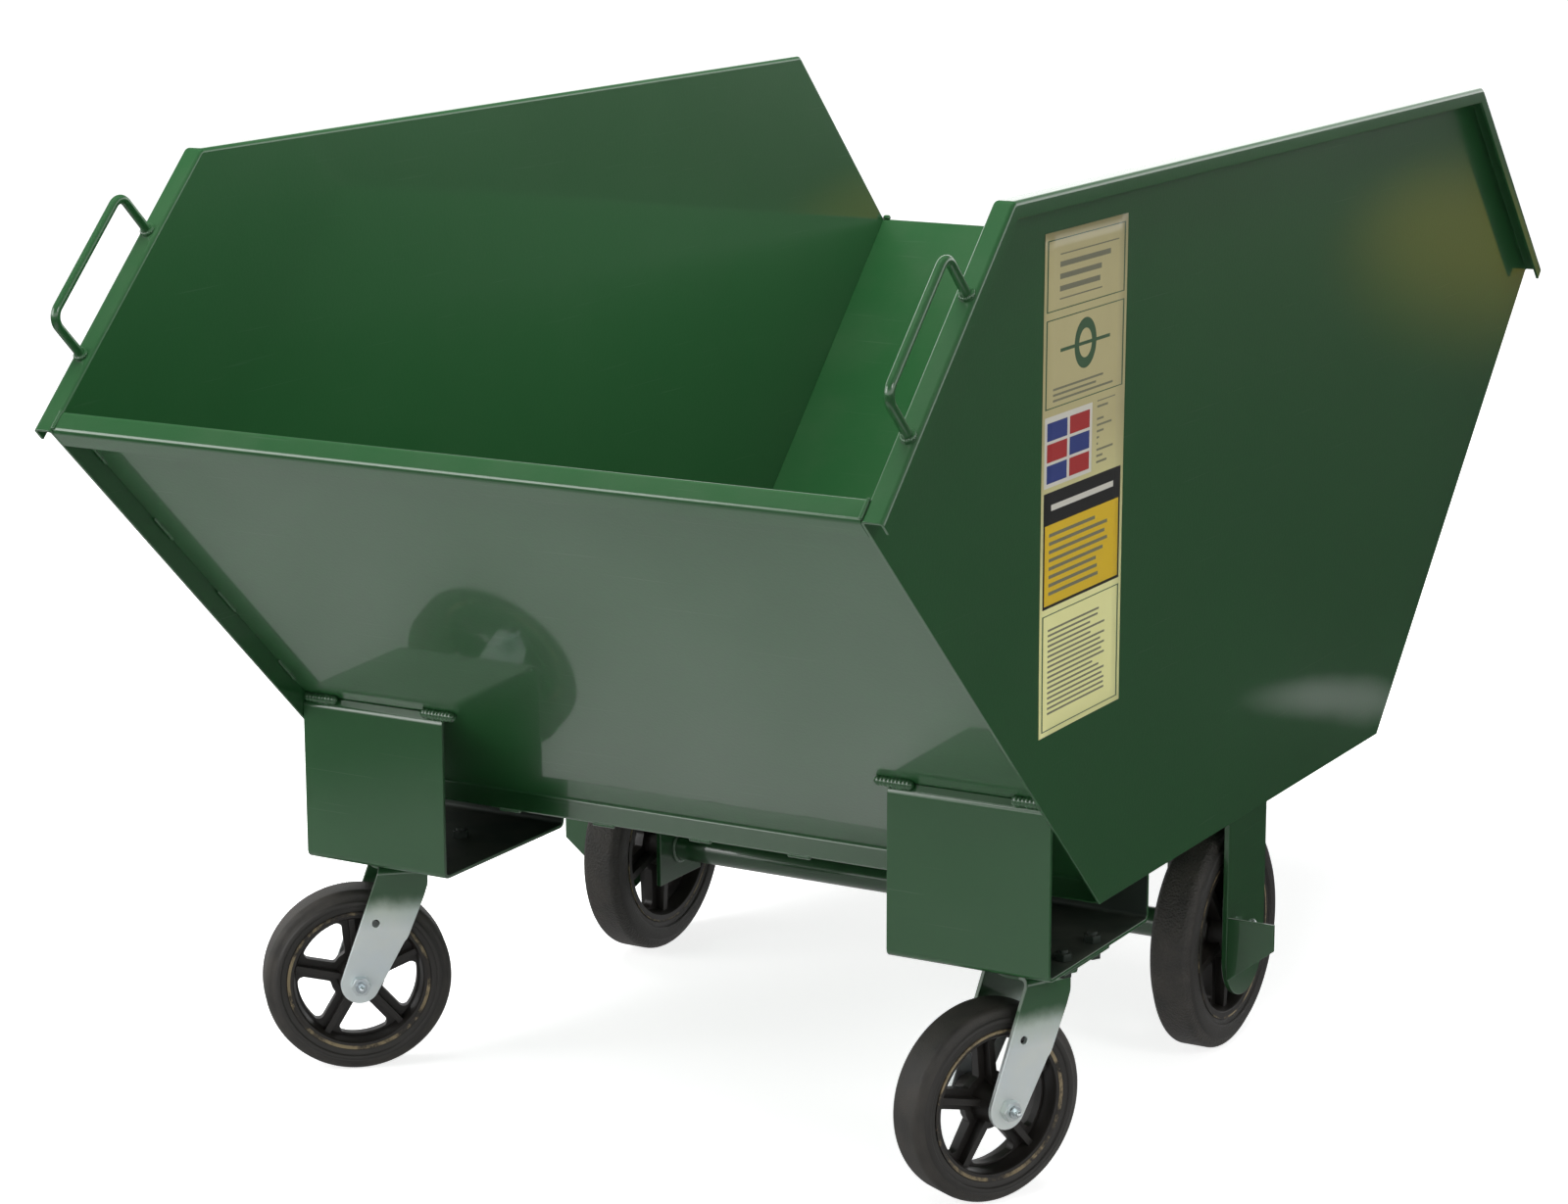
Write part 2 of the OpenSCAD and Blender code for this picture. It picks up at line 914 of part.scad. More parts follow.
rear_core(right);  // rear_core_right
rear_tyre(left);  // rear_tyre_left
rear_tyre(right);  // rear_tyre_right
rear_rollers(left);  // rear_rollers_left
rear_rollers(right);  // rear_rollers_right
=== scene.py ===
import json
import math

import bmesh
import bpy
from mathutils import Matrix, Vector, noise


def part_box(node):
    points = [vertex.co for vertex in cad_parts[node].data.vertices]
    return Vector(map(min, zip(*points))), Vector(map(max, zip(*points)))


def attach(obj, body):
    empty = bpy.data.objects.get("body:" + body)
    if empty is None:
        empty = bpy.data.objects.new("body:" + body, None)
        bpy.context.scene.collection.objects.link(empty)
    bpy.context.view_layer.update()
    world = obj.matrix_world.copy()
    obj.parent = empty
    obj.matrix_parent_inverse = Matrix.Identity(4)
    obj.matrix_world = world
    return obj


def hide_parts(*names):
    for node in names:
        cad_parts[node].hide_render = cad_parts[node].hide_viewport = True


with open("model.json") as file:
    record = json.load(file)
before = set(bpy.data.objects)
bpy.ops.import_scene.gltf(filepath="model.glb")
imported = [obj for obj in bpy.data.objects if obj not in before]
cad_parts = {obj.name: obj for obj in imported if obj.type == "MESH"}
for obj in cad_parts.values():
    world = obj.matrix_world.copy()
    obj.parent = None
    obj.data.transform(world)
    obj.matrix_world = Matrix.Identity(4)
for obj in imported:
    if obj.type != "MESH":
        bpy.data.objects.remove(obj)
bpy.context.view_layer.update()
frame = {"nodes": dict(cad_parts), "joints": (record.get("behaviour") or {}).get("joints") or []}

# ---------------------------------------------------------------- studio
# A white floor, four soft boxes and a camera at standing height, in front of the handles and
# to the right of the cart. None of it belongs to the cart.
scene = bpy.context.scene
scene.view_settings.view_transform = "Standard"


def nodes_of(owner):
    """Empties a material's or the world's node tree and returns its node adder."""
    owner.use_nodes = True
    owner.node_tree.nodes.clear()
    return node_adder(owner.node_tree)


def node_adder(tree):
    """A function that adds a node to a tree, sets its values and links its inputs."""
    def add(kind, inputs=None, **settings):
        node = tree.nodes.new(kind)
        for key, value in settings.items():
            setattr(node, key, value)
        for key, value in (inputs or {}).items():
            if isinstance(value, bpy.types.NodeSocket):
                tree.links.new(value, node.inputs[key])
            else:
                node.inputs[key].default_value = value
        return node
    return add


def mix_colour(add, factor, first, second):
    """A Mix node set to colours. Its colour sockets are the seventh and eighth inputs."""
    return add("ShaderNodeMix", {0: factor, 6: first, 7: second}, data_type="RGBA").outputs[2]


def calc(add, operation, *values):
    """A Math node's result. Each value is a number or another node's output."""
    return add("ShaderNodeMath", dict(enumerate(values)), operation=operation).outputs[0]


def ramp(add, value, start, end, low=0.0, high=1.0, smooth=False):
    """Maps a value that runs from start to end on to low to high, and holds it beyond them."""
    limits = {"Value": value, "From Min": start, "From Max": end, "To Min": low, "To Max": high}
    kind = "SMOOTHSTEP" if smooth else "LINEAR"
    return add("ShaderNodeMapRange", limits, interpolation_type=kind).outputs["Result"]


def grey_of(add, level):
    """A grey as bright as the level."""
    return add("ShaderNodeCombineColor", {n: level for n in ("Red", "Green", "Blue")}).outputs["Color"]


def noise_at(add, place, scale, detail, roughness=0.5):
    """Cloudy noise, about 0.5 in the middle."""
    inputs = {"Vector": place, "Scale": scale, "Detail": detail, "Roughness": roughness}
    return add("ShaderNodeTexNoise", inputs).outputs["Fac"]


def as_object(bm, name):
    """Makes an object of a finished mesh and frees it."""
    mesh = bpy.data.meshes.new(name)
    bm.to_mesh(mesh)
    bm.free()
    made = bpy.data.objects.new(name, mesh)
    scene.collection.objects.link(made)
    return made


def add_camera():
    place = Vector((1.9699, -3.6773, 1.4386))
    turn, tip, roll = 0.516, -0.225, -0.002
    data = bpy.data.cameras.new("camera")
    data.lens = 88.97
    data.sensor_width = 36
    data.clip_end = 100
    camera = bpy.data.objects.new("camera", data)
    scene.collection.objects.link(camera)
    aim = Matrix.Rotation(turn, 4, "Z") @ Matrix.Rotation(math.pi / 2 + tip, 4, "X")
    camera.matrix_world = Matrix.Translation(place) @ aim @ Matrix.Rotation(roll, 4, "Z")
    scene.camera = camera


def add_soft_box(name, place, target, width, height, power, mirrored=True):
    data = bpy.data.lights.new(name, "AREA")
    data.shape = "RECTANGLE"
    data.size = width
    data.size_y = height
    data.energy = power
    light = bpy.data.objects.new(name, data)
    light.location = place
    light.visible_glossy = mirrored
    light.rotation_euler = (Vector(target) - Vector(place)).to_track_quat("-Z", "Y").to_euler()
    scene.collection.objects.link(light)


def add_floor():
    """Pale floor. It is bright before the cart, and reflections further off find it darker. For glossy rays
    the floor glows with painted reflections: a mottled bright pool before the cart puts a painted sheen on
    the front sheet, a small spot beside the rear wheel puts a painted highlight on the right panel's dent,
    and a warm patch puts a painted yellowish glow on that panel.
    """
    bm = bmesh.new()
    bmesh.ops.create_circle(bm, cap_ends=True, segments=96, radius=30)
    floor = as_object(bm, "floor")
    paper = bpy.data.materials.new("floor_paper")
    add = nodes_of(paper)
    place = add("ShaderNodeTexCoord").outputs["Object"]

    def pool(centre, inner, outer, level, where=place):
        """A round patch of the floor, at its level inside and fading to nothing outside."""
        away = add("ShaderNodeVectorMath", {0: where, 1: centre}, operation="DISTANCE").outputs["Value"]
        return ramp(add, away, inner, outer, level, 0.0, smooth=True)

    path = add("ShaderNodeLightPath")
    seen, mirrored = path.outputs["Is Camera Ray"], path.outputs["Is Glossy Ray"]
    # Painted reflection: a bright pool before the cart, seen only in reflections, that gives the front sheet
    # and the right box a painted sheen.
    front = pool((-0.1, -0.8, 0), 0.95, 1.45, 0.47)
    # Painted highlight: a small bright spot that the dented lower rear of the right panel mirrors.
    painted_dent_highlight = pool((0.98, 1.62, 0), 0.02, 0.19, 0.55)
    uneven = ramp(add, noise_at(add, place, 1.6, 4.0, 0.6), 0.3, 0.7, 0.78, 1.18)
    bright = calc(add, "MAXIMUM", calc(add, "MULTIPLY", front, uneven), painted_dent_highlight)
    painted_reflection = grey_of(add, calc(add, "MAXIMUM", bright, 0.035))
    apart = add("ShaderNodeSeparateXYZ", {0: place}).outputs
    slant = calc(add, "MULTIPLY_ADD", apart["Y"], -0.35, apart["X"])
    far = calc(add, "MULTIPLY", apart["Y"], 0.2)
    along = add("ShaderNodeCombineXYZ", {"X": slant, "Y": far}).outputs["Vector"]
    # Painted reflection: a warm patch far off that gives the right panel's upper corner a painted yellowish
    # glow.
    glow = pool((0.22, 1.35, 0), 0.05, 0.50, 1.0, along)
    painted_reflection = mix_colour(add, glow, painted_reflection, (0.36, 0.27, 0.05, 1))
    painted_reflection_light = add("ShaderNodeEmission", {"Color": painted_reflection, "Strength": 1.0})
    reach = add("ShaderNodeVectorMath", {0: place}, operation="LENGTH").outputs["Value"]
    haze = ramp(add, reach, 0.9, 3.2, 0.80, 1.0, smooth=True)
    paint = add("ShaderNodeBsdfDiffuse", {"Color": (0.9, 0.9, 0.9, 1)})
    lift = add("ShaderNodeEmission", {"Color": (1, 1, 1, 1), "Strength": haze})
    both = add("ShaderNodeAddShader", {0: paint.outputs[0], 1: lift.outputs[0]})
    plain = add("ShaderNodeMixShader", {0: seen, 1: paint.outputs[0], 2: both.outputs[0]})
    choice = add("ShaderNodeMixShader", {0: mirrored, 1: plain.outputs[0], 2: painted_reflection_light.outputs[0]})
    add("ShaderNodeOutputMaterial", {"Surface": choice.outputs[0]})
    floor.data.materials.append(paper)


def add_sky():
    """White to the camera. Reflections see a white wall low down, and a dim room above it."""
    world = bpy.data.worlds.new("studio")
    scene.world = world
    add = nodes_of(world)
    facing = add("ShaderNodeTexCoord").outputs["Generated"]
    split = add("ShaderNodeSeparateXYZ", {0: facing})
    room = grey_of(add, ramp(add, split.outputs["Z"], 0.16, 0.50, 1.6, 0.10, smooth=True))
    path = add("ShaderNodeLightPath")
    dim = mix_colour(add, path.outputs["Is Glossy Ray"], (0.17, 0.17, 0.17, 1), room)
    shade = mix_colour(add, path.outputs["Is Camera Ray"], dim, (1, 1, 1, 1))
    glow = add("ShaderNodeBackground", {"Color": shade, "Strength": 1.0})
    add("ShaderNodeOutputWorld", {"Surface": glow.outputs[0]})


add_camera()
add_floor()
add_sky()
middle = (0.0, 0.0, 0.5)
add_soft_box("overhead_box", (-0.6, -0.6, 3.4), middle, 3.2, 2.6, 118, mirrored=False)
add_soft_box("front_box", (-2.6, -3.4, 2.2), middle, 2.4, 2.0, 62)
add_soft_box("side_box", (3.6, -1.6, 2.6), middle, 1.2, 1.2, 26)
add_soft_box("inner_box", (0.45, 0.4, 2.6), (-0.44, 0.0, 0.6), 0.9, 1.4, 32, mirrored=False)


# ---------------------------------------------------------------- enamel
# The hopper and its running gear are sprayed with one gloss dark green enamel. It lies a
# little uneven, like orange peel, and carries faint dust and hairline scratches.
def shader_group(name, inputs, outputs):
    """A node group with number and vector sockets. Returns the group, its adder and both ends."""
    group = bpy.data.node_groups.new(name, "ShaderNodeTree")
    for label, kind, value in inputs:
        socket = group.interface.new_socket(label, in_out="INPUT", socket_type=kind)
        if value is not None:
            socket.default_value = value
    for label, kind in outputs:
        group.interface.new_socket(label, in_out="OUTPUT", socket_type=kind)
    add = node_adder(group)
    return group, add, add("NodeGroupInput"), add("NodeGroupOutput")


FLOAT, VECTOR = "NodeSocketFloat", "NodeSocketVector"


def make_peel_group():
    """Orange peel and slow waves of a sprayed gloss coat, and its slight change of tone."""
    group, add, start, end = shader_group(
        "sprayed_coat",
        [("Place", VECTOR, None), ("Peel", FLOAT, 0.5), ("Waves", FLOAT, 0.5)],
        [("Height", FLOAT), ("Tone", FLOAT)],
    )
    place = start.outputs["Place"]
    fine = calc(add, "MULTIPLY", noise_at(add, place, 260, 2), start.outputs["Peel"])
    slow = calc(add, "MULTIPLY", noise_at(add, place, 7, 1), start.outputs["Waves"])
    group.links.new(calc(add, "ADD", fine, slow), end.inputs["Height"])
    group.links.new(noise_at(add, place, 2.6, 4), end.inputs["Tone"])
    return group


def make_dust_group():
    """Mask of settled dust: on upward faces and in patches."""
    group, add, start, end = shader_group(
        "settled_dust",
        [("Place", VECTOR, None), ("Facing", VECTOR, None), ("Amount", FLOAT, 0.3)],
        [("Mask", FLOAT)],
    )
    patches = noise_at(add, start.outputs["Place"], 9, 6, 0.65)
    up = add("ShaderNodeSeparateXYZ", {0: start.outputs["Facing"]})
    lie = ramp(add, up.outputs["Z"], 0.2, 1.0, 0.15, 1.0)
    where = calc(add, "MULTIPLY", lie, ramp(add, patches, 0.42, 0.75))
    group.links.new(calc(add, "MULTIPLY", where, start.outputs["Amount"]), end.inputs["Mask"])
    return group


def make_scratch_group():
    """Mask of a few hairline scratches, long and thin, in two directions."""
    group, add, start, end = shader_group(
        "hairline_scratches",
        [("Place", VECTOR, None), ("Amount", FLOAT, 0.3)],
        [("Mask", FLOAT)],
    )
    lines = []
    for turn, stretch in ((0.5, 5), (-0.9, 7)):
        turned = add("ShaderNodeMapping", {"Vector": start.outputs["Place"],
                                           "Rotation": (turn, turn, turn), "Scale": (stretch, stretch, 420)})
        lines.append(ramp(add, noise_at(add, turned.outputs[0], 1.0, 1), 0.74, 0.80))
    either = calc(add, "MAXIMUM", *lines)
    group.links.new(calc(add, "MULTIPLY", either, start.outputs["Amount"]), end.inputs["Mask"])
    return group


peel_group = make_peel_group()
dust_group = make_dust_group()
scratch_group = make_scratch_group()


def grouped(add, group, inputs):
    """A node that uses a group. Its sockets exist once the group is set, so they come after."""
    node = add("ShaderNodeGroup", node_tree=group)
    for key, value in inputs.items():
        if isinstance(value, bpy.types.NodeSocket):
            node.id_data.links.new(value, node.inputs[key])
        else:
            node.inputs[key].default_value = value
    return node


def new_material(name):
    """A material, its node adder and the place on the piece."""
    material = bpy.data.materials.new(name)
    add = nodes_of(material)
    return material, add, add("ShaderNodeTexCoord").outputs["Object"]


def relief_of(add, height, strength, distance):
    """The shading normal over a relief."""
    inputs = {"Height": height, "Strength": strength, "Distance": distance}
    return add("ShaderNodeBump", inputs).outputs["Normal"]


def end_in(add, inputs):
    """Ends a material in one Principled surface."""
    surface = add("ShaderNodeBsdfPrincipled", inputs)
    add("ShaderNodeOutputMaterial", {"Surface": surface.outputs[0]})


def finished_surface(name, colour, roughness, coat=0.0, coat_roughness=0.05,
                     peel=0.5, waves=0.5, bump=0.0002, dust=0.2, scratches=0.2,
                     tone_range=0.12, dust_colour=(0.30, 0.28, 0.24, 1),
                     scratch_colour=(0.45, 0.5, 0.45, 1)):
    """A material whose coat has peel, slow waves, change of tone, dust and hairline scratches."""
    material, add, place = new_material(name)
    facing = add("ShaderNodeNewGeometry").outputs["Normal"]
    skin = grouped(add, peel_group, {"Place": place, "Peel": peel, "Waves": waves})
    film = grouped(add, dust_group, {"Place": place, "Facing": facing, "Amount": dust})
    hairs = grouped(add, scratch_group, {"Place": place, "Amount": scratches})
    dark = tuple(c * (1 - tone_range) for c in colour[:3]) + (1,)
    pale = tuple(min(1, c * (1 + tone_range)) for c in colour[:3]) + (1,)
    base = mix_colour(add, skin.outputs["Tone"], dark, pale)
    base = mix_colour(add, hairs.outputs["Mask"], base, scratch_colour)
    base = mix_colour(add, film.outputs["Mask"], base, dust_colour)
    rough = ramp(add, film.outputs["Mask"], 0.0, 1.0, roughness, min(1.0, roughness + 0.5))
    relief = relief_of(add, skin.outputs["Height"], 1.0, bump)
    end_in(add, {"Base Color": base, "Roughness": rough, "Coat Weight": coat,
                 "Coat Roughness": coat_roughness, "Normal": relief})
    return material


enamel_green = (0.019, 0.092, 0.028, 1)
enamel = finished_surface("green_enamel", enamel_green, 0.32, coat=0.9, coat_roughness=0.045,
                          peel=0.25, waves=0.9, bump=0.00035, dust=0.07, scratches=0.05)

# ---------------------------------------------------------------- side panels
# Each side is one steel sheet with six corners. Its three upper edges are folded out into a
# flange and down again into a lip. The three lower edges are plain, and the plate, too wide to
# lie quite flat, bellies a little between its folds.
sheet_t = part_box("floor_sheet")[1].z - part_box("floor_sheet")[0].z
floor_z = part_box("side_panel_right")[0].z
rim_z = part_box("side_panel_right")[1].z
front_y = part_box("side_panel_right")[0].y
rear_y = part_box("side_panel_right")[1].y
flange_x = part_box("side_panel_right")[1].x
panel_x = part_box("label")[0].x
front_lip = Vector((front_y, 0.7725))
rim_start = Vector((-0.603, rim_z))
rim_end = Vector((0.617, rim_z))
rear_lip = Vector((rear_y, 0.7815))
floor_end = Vector((0.390, floor_z))
floor_start = Vector((-0.3575, floor_z))
panel_lip = 0.0165
rim_corner_r = 0.009
fold_r = 0.0045
panel_belly = 0.0022
SIDES = (("left", -1), ("right", 1))


def right_of(a, b):
    along = (b - a).normalized()
    return Vector((along.y, -along.x))


def beside(path, distance):
    """The open line moved to its right by a distance, with its corners mitred."""
    moved = [path[0] + distance * right_of(path[0], path[1])]
    for a, b, c in zip(path, path[1:], path[2:]):
        m, n = right_of(a, b), right_of(b, c)
        moved.append(b + distance * (m + n) / (1 + m.dot(n)))
    moved.append(path[-1] + distance * right_of(path[-2], path[-1]))
    return moved


def round_corner(a, b, c, radius, steps=6):
    """Points of an arc that rounds the corner at b between a and c."""
    back, on = (a - b).normalized(), (c - b).normalized()
    half = back.angle(on) / 2
    centre = b + (back + on).normalized() * radius / math.sin(half)
    first = b + back * radius / math.tan(half) - centre
    last = b + on * radius / math.tan(half) - centre
    sweep = first.angle(last)
    return [centre + (first * math.sin((1 - i / steps) * sweep) + last * math.sin(i / steps * sweep))
            / math.sin(sweep) for i in range(steps + 1)]


def panel_wave(y, z):
    """How far the panel's plate stands off its plane: slow bellying, and a dent over the axle."""
    edge = 1.0
    outline = [front_lip, rim_start, rim_end, rear_lip, floor_end, floor_start]
    here = Vector((y, z))
    for a, b in zip(outline, outline[1:] + outline[:1]):
        edge = min(edge, max(0.0, right_of(a, b).dot(here - a)) / 0.10)
    belly = noise.noise(Vector((y * 1.6, z * 1.9, 3.1))) * panel_belly
    dent = -0.0030 * math.exp(-((y - 0.31) ** 2 + (z - 0.375) ** 2) / 0.055 ** 2)
    crease = 0.0018 * math.exp(-((y - 0.37) ** 2 + (z - 0.43) ** 2) / 0.05 ** 2)
    smooth = edge * edge * (3 - 2 * edge)
    return smooth * (belly + dent + crease)


def slice_up(bm, direction, positions):
    """Cuts every face with planes across a direction, to give a sheet places to bend."""
    for position in positions:
        bmesh.ops.bisect_plane(bm, geom=bm.verts[:] + bm.edges[:] + bm.faces[:], dist=1e-6,
                               plane_co=Vector(direction) * position, plane_no=direction)


def steps_between(low, high, spacing):
    count = max(1, round((high - low) / spacing))
    return [low + (high - low) * i / count for i in range(1, count)]


def round_edges(bm, edges, radius, segments=3):
    if edges:
        bmesh.ops.bevel(bm, geom=edges, offset=radius, offset_type="OFFSET", segments=segments,
                        profile=0.5, affect="EDGES", clamp_overlap=True, material=-1)


def ease_edges(piece, width):
    """Rounds the cut edges a little, by a live bevel."""
    ease = piece.modifiers.new("eased_edges", "BEVEL")
    ease.width = width
    ease.segments = 2
    ease.limit_method = "ANGLE"
    ease.angle_limit = math.radians(50)


def place_piece(bm, name, body, slot, materials, replaced=(), thick=0.0, eased=0.0, sharp=45):
    """Makes the finished object: sheet thickness and eased cut edges are live modifiers."""
    piece = as_object(bm, name)
    for material in materials:
        piece.data.materials.append(material)
    piece.data.shade_smooth()
    piece.data.set_sharp_from_angle(angle=math.radians(sharp))
    if thick:
        wall = piece.modifiers.new("sheet", "SOLIDIFY")
        wall.thickness = thick
        wall.offset = -1
        wall.use_even_offset = True
    if eased:
        ease_edges(piece, eased)
    if thick or eased:
        even = piece.modifiers.new("even_shading", "WEIGHTED_NORMAL")
        even.keep_sharp = True
    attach(piece, body)
    if replaced:
        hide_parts(*replaced)
    return piece


def green_piece(bm, name, replaced=(), **shape):
    """A piece of the hopper or its legs, welded on and enamelled with the rest."""
    place_piece(bm, name, "cart", "enamel", [enamel], replaced, **shape)


def points_of(geom):
    return [g for g in geom if isinstance(g, bmesh.types.BMVert)]


def edges_of(geom):
    return [g for g in geom if isinstance(g, bmesh.types.BMEdge)]


def pull_solid(bm, faces, vector):
    """Pulls flat faces along a vector into a closed solid."""
    made = bmesh.ops.extrude_face_region(bm, geom=faces)["geom"]
    bmesh.ops.translate(bm, vec=vector, verts=points_of(made))
    bmesh.ops.recalc_face_normals(bm, faces=bm.faces)


def take_in(bm, part):
    """Adds a finished part to a mesh and frees it."""
    mesh = bpy.data.meshes.new("part")
    part.to_mesh(mesh)
    part.free()
    bm.from_mesh(mesh)
    bpy.data.meshes.remove(mesh)


def side_panel(side, sign):
    skin_x = panel_x - sheet_t
    top = ([front_lip] + round_corner(front_lip, rim_start, rim_end, rim_corner_r)
           + round_corner(rim_start, rim_end, rear_lip, rim_corner_r) + [rear_lip])
    mitres = beside([front_lip, rim_start, rim_end, rear_lip], panel_lip)
    ends = [mitres[0]] + [mitres[1]] * 7 + [mitres[2]] * 7 + [mitres[3]]
    bm = bmesh.new()
    outline = top + [floor_end, floor_start]
    corners = [bm.verts.new((skin_x, p.x, p.y)) for p in outline]
    bm.faces.new(corners)
    fold_edges = [bm.edges.get((a, b)) for a, b in zip(corners, corners[1:len(top)])]
    grown = bmesh.ops.extrude_edge_only(bm, edges=fold_edges)["geom"]
    outer = points_of(grown)
    for v in outer:
        v.co.x = flange_x
    rim_edges = [e for e in edges_of(grown) if all(v in outer for v in e.verts)]
    grown = bmesh.ops.extrude_edge_only(bm, edges=rim_edges)["geom"]
    for v in points_of(grown):
        nearest = min(range(len(top)), key=lambda i: (top[i] - Vector((v.co.y, v.co.z))).length)
        v.co.y, v.co.z = ends[nearest].x, ends[nearest].y
    bmesh.ops.remove_doubles(bm, verts=bm.verts, dist=1e-6)
    bm.normal_update()
    folds = [e for e in bm.edges if len(e.link_faces) == 2 and e.calc_face_angle(0) > 1.2]
    round_edges(bm, folds, fold_r, 4)
    slice_up(bm, (0, 1, 0), steps_between(front_y, rear_y, 0.07))
    slice_up(bm, (0, 0, 1), steps_between(floor_z, rim_z, 0.07))
    for v in [v for v in bm.verts if abs(v.co.x - skin_x) < 1e-5]:
        v.co.x += panel_wave(v.co.y, v.co.z)
    if max(bm.faces, key=lambda f: f.calc_area()).normal.x > 0:
        bmesh.ops.reverse_faces(bm, faces=bm.faces)
    if sign < 0:
        bmesh.ops.scale(bm, vec=(-1, 1, 1), verts=bm.verts)
        bmesh.ops.reverse_faces(bm, faces=bm.faces)
    green_piece(bm, f"panel_{side}", [f"side_panel_{side}"], thick=sheet_t, eased=0.0006)


for side, sign in SIDES:
    side_panel(side, sign)

# ---------------------------------------------------------------- front, floor and rear sheets
# The two slopes and the floor lie between the panels. The front sheet is set in from the
# panels' edges, is folded out and back into a lip at the top, and out into a ledge at the foot.
# The rear sheet's top is folded down over the dump edge.
front_recess = 0.025
rear_recess = 0.012
end_lip = 0.025
sheet_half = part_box("front_sheet")[1].x
front_along = (floor_start - front_lip).normalized()
front_across = Vector((-front_along.y, front_along.x))
rear_along = (rear_lip - floor_end).normalized()
rear_across = Vector((-rear_along.y, rear_along.x))
sheet_sag = 0.0012
sheet_fold_r = 0.0025


def folded_sheet(path, low_x, high_x, thickness, inner_r, spacing=0.08, sag=0.0):
    """A sheet folded along a line in the Y-Z plane and as wide as from low_x to high_x."""
    bm = bmesh.new()
    skins = path, beside(path, thickness)
    section = [bm.verts.new((low_x, p.x, p.y)) for p in skins[0] + skins[1][::-1]]
    pull_solid(bm, [bm.faces.new(section)], (high_x - low_x, 0, 0))
    for i in range(1, len(path) - 1):
        turn = (path[i] - path[i - 1]).cross(path[i + 1] - path[i])
        for skin, tight in ((skins[0], turn > 0), (skins[1], turn < 0)):
            corner = skin[i]
            edges = [e for e in bm.edges if all(
                (Vector((v.co.y, v.co.z)) - corner).length < 1e-6 for v in e.verts)]
            angle = math.pi - (path[i - 1] - path[i]).angle(path[i + 1] - path[i])
            radius = inner_r if tight else inner_r + thickness
            round_edges(bm, edges, radius * math.tan(angle / 2), 4)
    if spacing:
        slice_up(bm, (1, 0, 0), steps_between(low_x, high_x, spacing))
        low_y = min(v.co.y for v in bm.verts)
        high_y = max(v.co.y for v in bm.verts)
        slice_up(bm, (0, 1, 0), steps_between(low_y, high_y, spacing))
    if sag:
        bend_sheet(bm, path, low_x, high_x, sag)
    return bm


def bend_sheet(bm, path, low_x, high_x, sag):
    """Lets the longest flat of a folded sheet belly between its folds and its sides."""
    a, b = max(zip(path, path[1:]), key=lambda pair: (pair[1] - pair[0]).length)
    along = (b - a).normalized()
    off = Vector((-along.y, along.x))
    length = (b - a).length
    for v in bm.verts:
        here = Vector((v.co.y, v.co.z)) - a
        if abs(here.dot(off)) > 0.0045:
            continue
        run = here.dot(along) / length
        across = (v.co.x - low_x) / (high_x - low_x)
        if 0 < run < 1 and 0 < across < 1:
            hold = min(1, 8 * run * (1 - run)) * min(1, 8 * across * (1 - across))
            push = sag * hold * noise.noise(Vector((v.co.x * 2.1, run * 1.7, length)))
            v.co.y += off.x * push
            v.co.z += off.y * push


front_path = [front_lip + end_lip * front_along, front_lip, front_lip + front_recess * front_across,
              floor_start + front_recess * front_across, floor_start]
green_piece(folded_sheet(front_path, -sheet_half, sheet_half, sheet_t, sheet_fold_r, sag=sheet_sag),
            "front_slope", ["front_sheet"], eased=0.0005)
rear_start = floor_end + rear_recess * rear_across
rear_foot = rear_start + rear_along * (floor_z + sheet_t * rear_across.y - rear_start.y) / rear_along.y
rear_path = [rear_foot, rear_lip + rear_recess * rear_across, rear_lip, rear_lip - end_lip * rear_along]
green_piece(folded_sheet(rear_path, -sheet_half, sheet_half, sheet_t, sheet_fold_r, sag=sheet_sag),
            "rear_slope", ["rear_sheet"], eased=0.0005)
floor_path = [Vector((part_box("floor_sheet")[1].y - sheet_t, floor_z)),
              Vector((floor_start.x + sheet_t / 2, floor_z))]
green_piece(folded_sheet(floor_path, -sheet_half, sheet_half, sheet_t, sheet_fold_r),
            "floor_plate", ["floor_sheet"], eased=0.0005)

# ---------------------------------------------------------------- handles
# Each side has a lifting handle: a 9.5 mm round steel rod, bent twice and welded by its two
# feet to the flange beside the front lip, then enamelled with the hopper.
rod_r = 0.00475
handle_start = 0.0905
handle_length = 0.1533
handle_reach = 0.058
handle_bend = 0.014


def rod_bend(bm, ring, centre):
    """Spins the open end of a rod through a quarter turn and returns its new end."""
    made = bmesh.ops.spin(bm, geom=ring, cent=centre, axis=(0, 1, 0), angle=math.pi / 2, steps=10,
                          use_duplicate=False)
    return points_of(made["geom_last"]) + edges_of(made["geom_last"])


def rod_straight(bm, ring, vector):
    made = bmesh.ops.extrude_edge_only(bm, edges=edges_of(ring))["geom"]
    moved = points_of(made)
    bmesh.ops.translate(bm, verts=moved, vec=vector)
    return moved + [e for e in edges_of(made) if all(v in moved for v in e.verts)]


def bead_along(bm, points, radius):
    """A hand-laid weld bead: one overlapping drop of metal at each point."""
    bead = bmesh.new()
    for i, point in enumerate(points):
        size = radius * (1.0 + 0.16 * noise.noise(Vector((i * 1.7, points[0].x * 9, points[0].z * 9))))
        bmesh.ops.create_uvsphere(bead, u_segments=8, v_segments=6, radius=size,
                                  matrix=Matrix.Translation(point))
    take_in(bm, bead)


def weld_bead(bm, start, end, radius):
    start, end = Vector(start), Vector(end)
    count = max(1, round((end - start).length / (radius * 0.75)))
    bead_along(bm, [start.lerp(end, i / count) for i in range(count + 1)], radius)


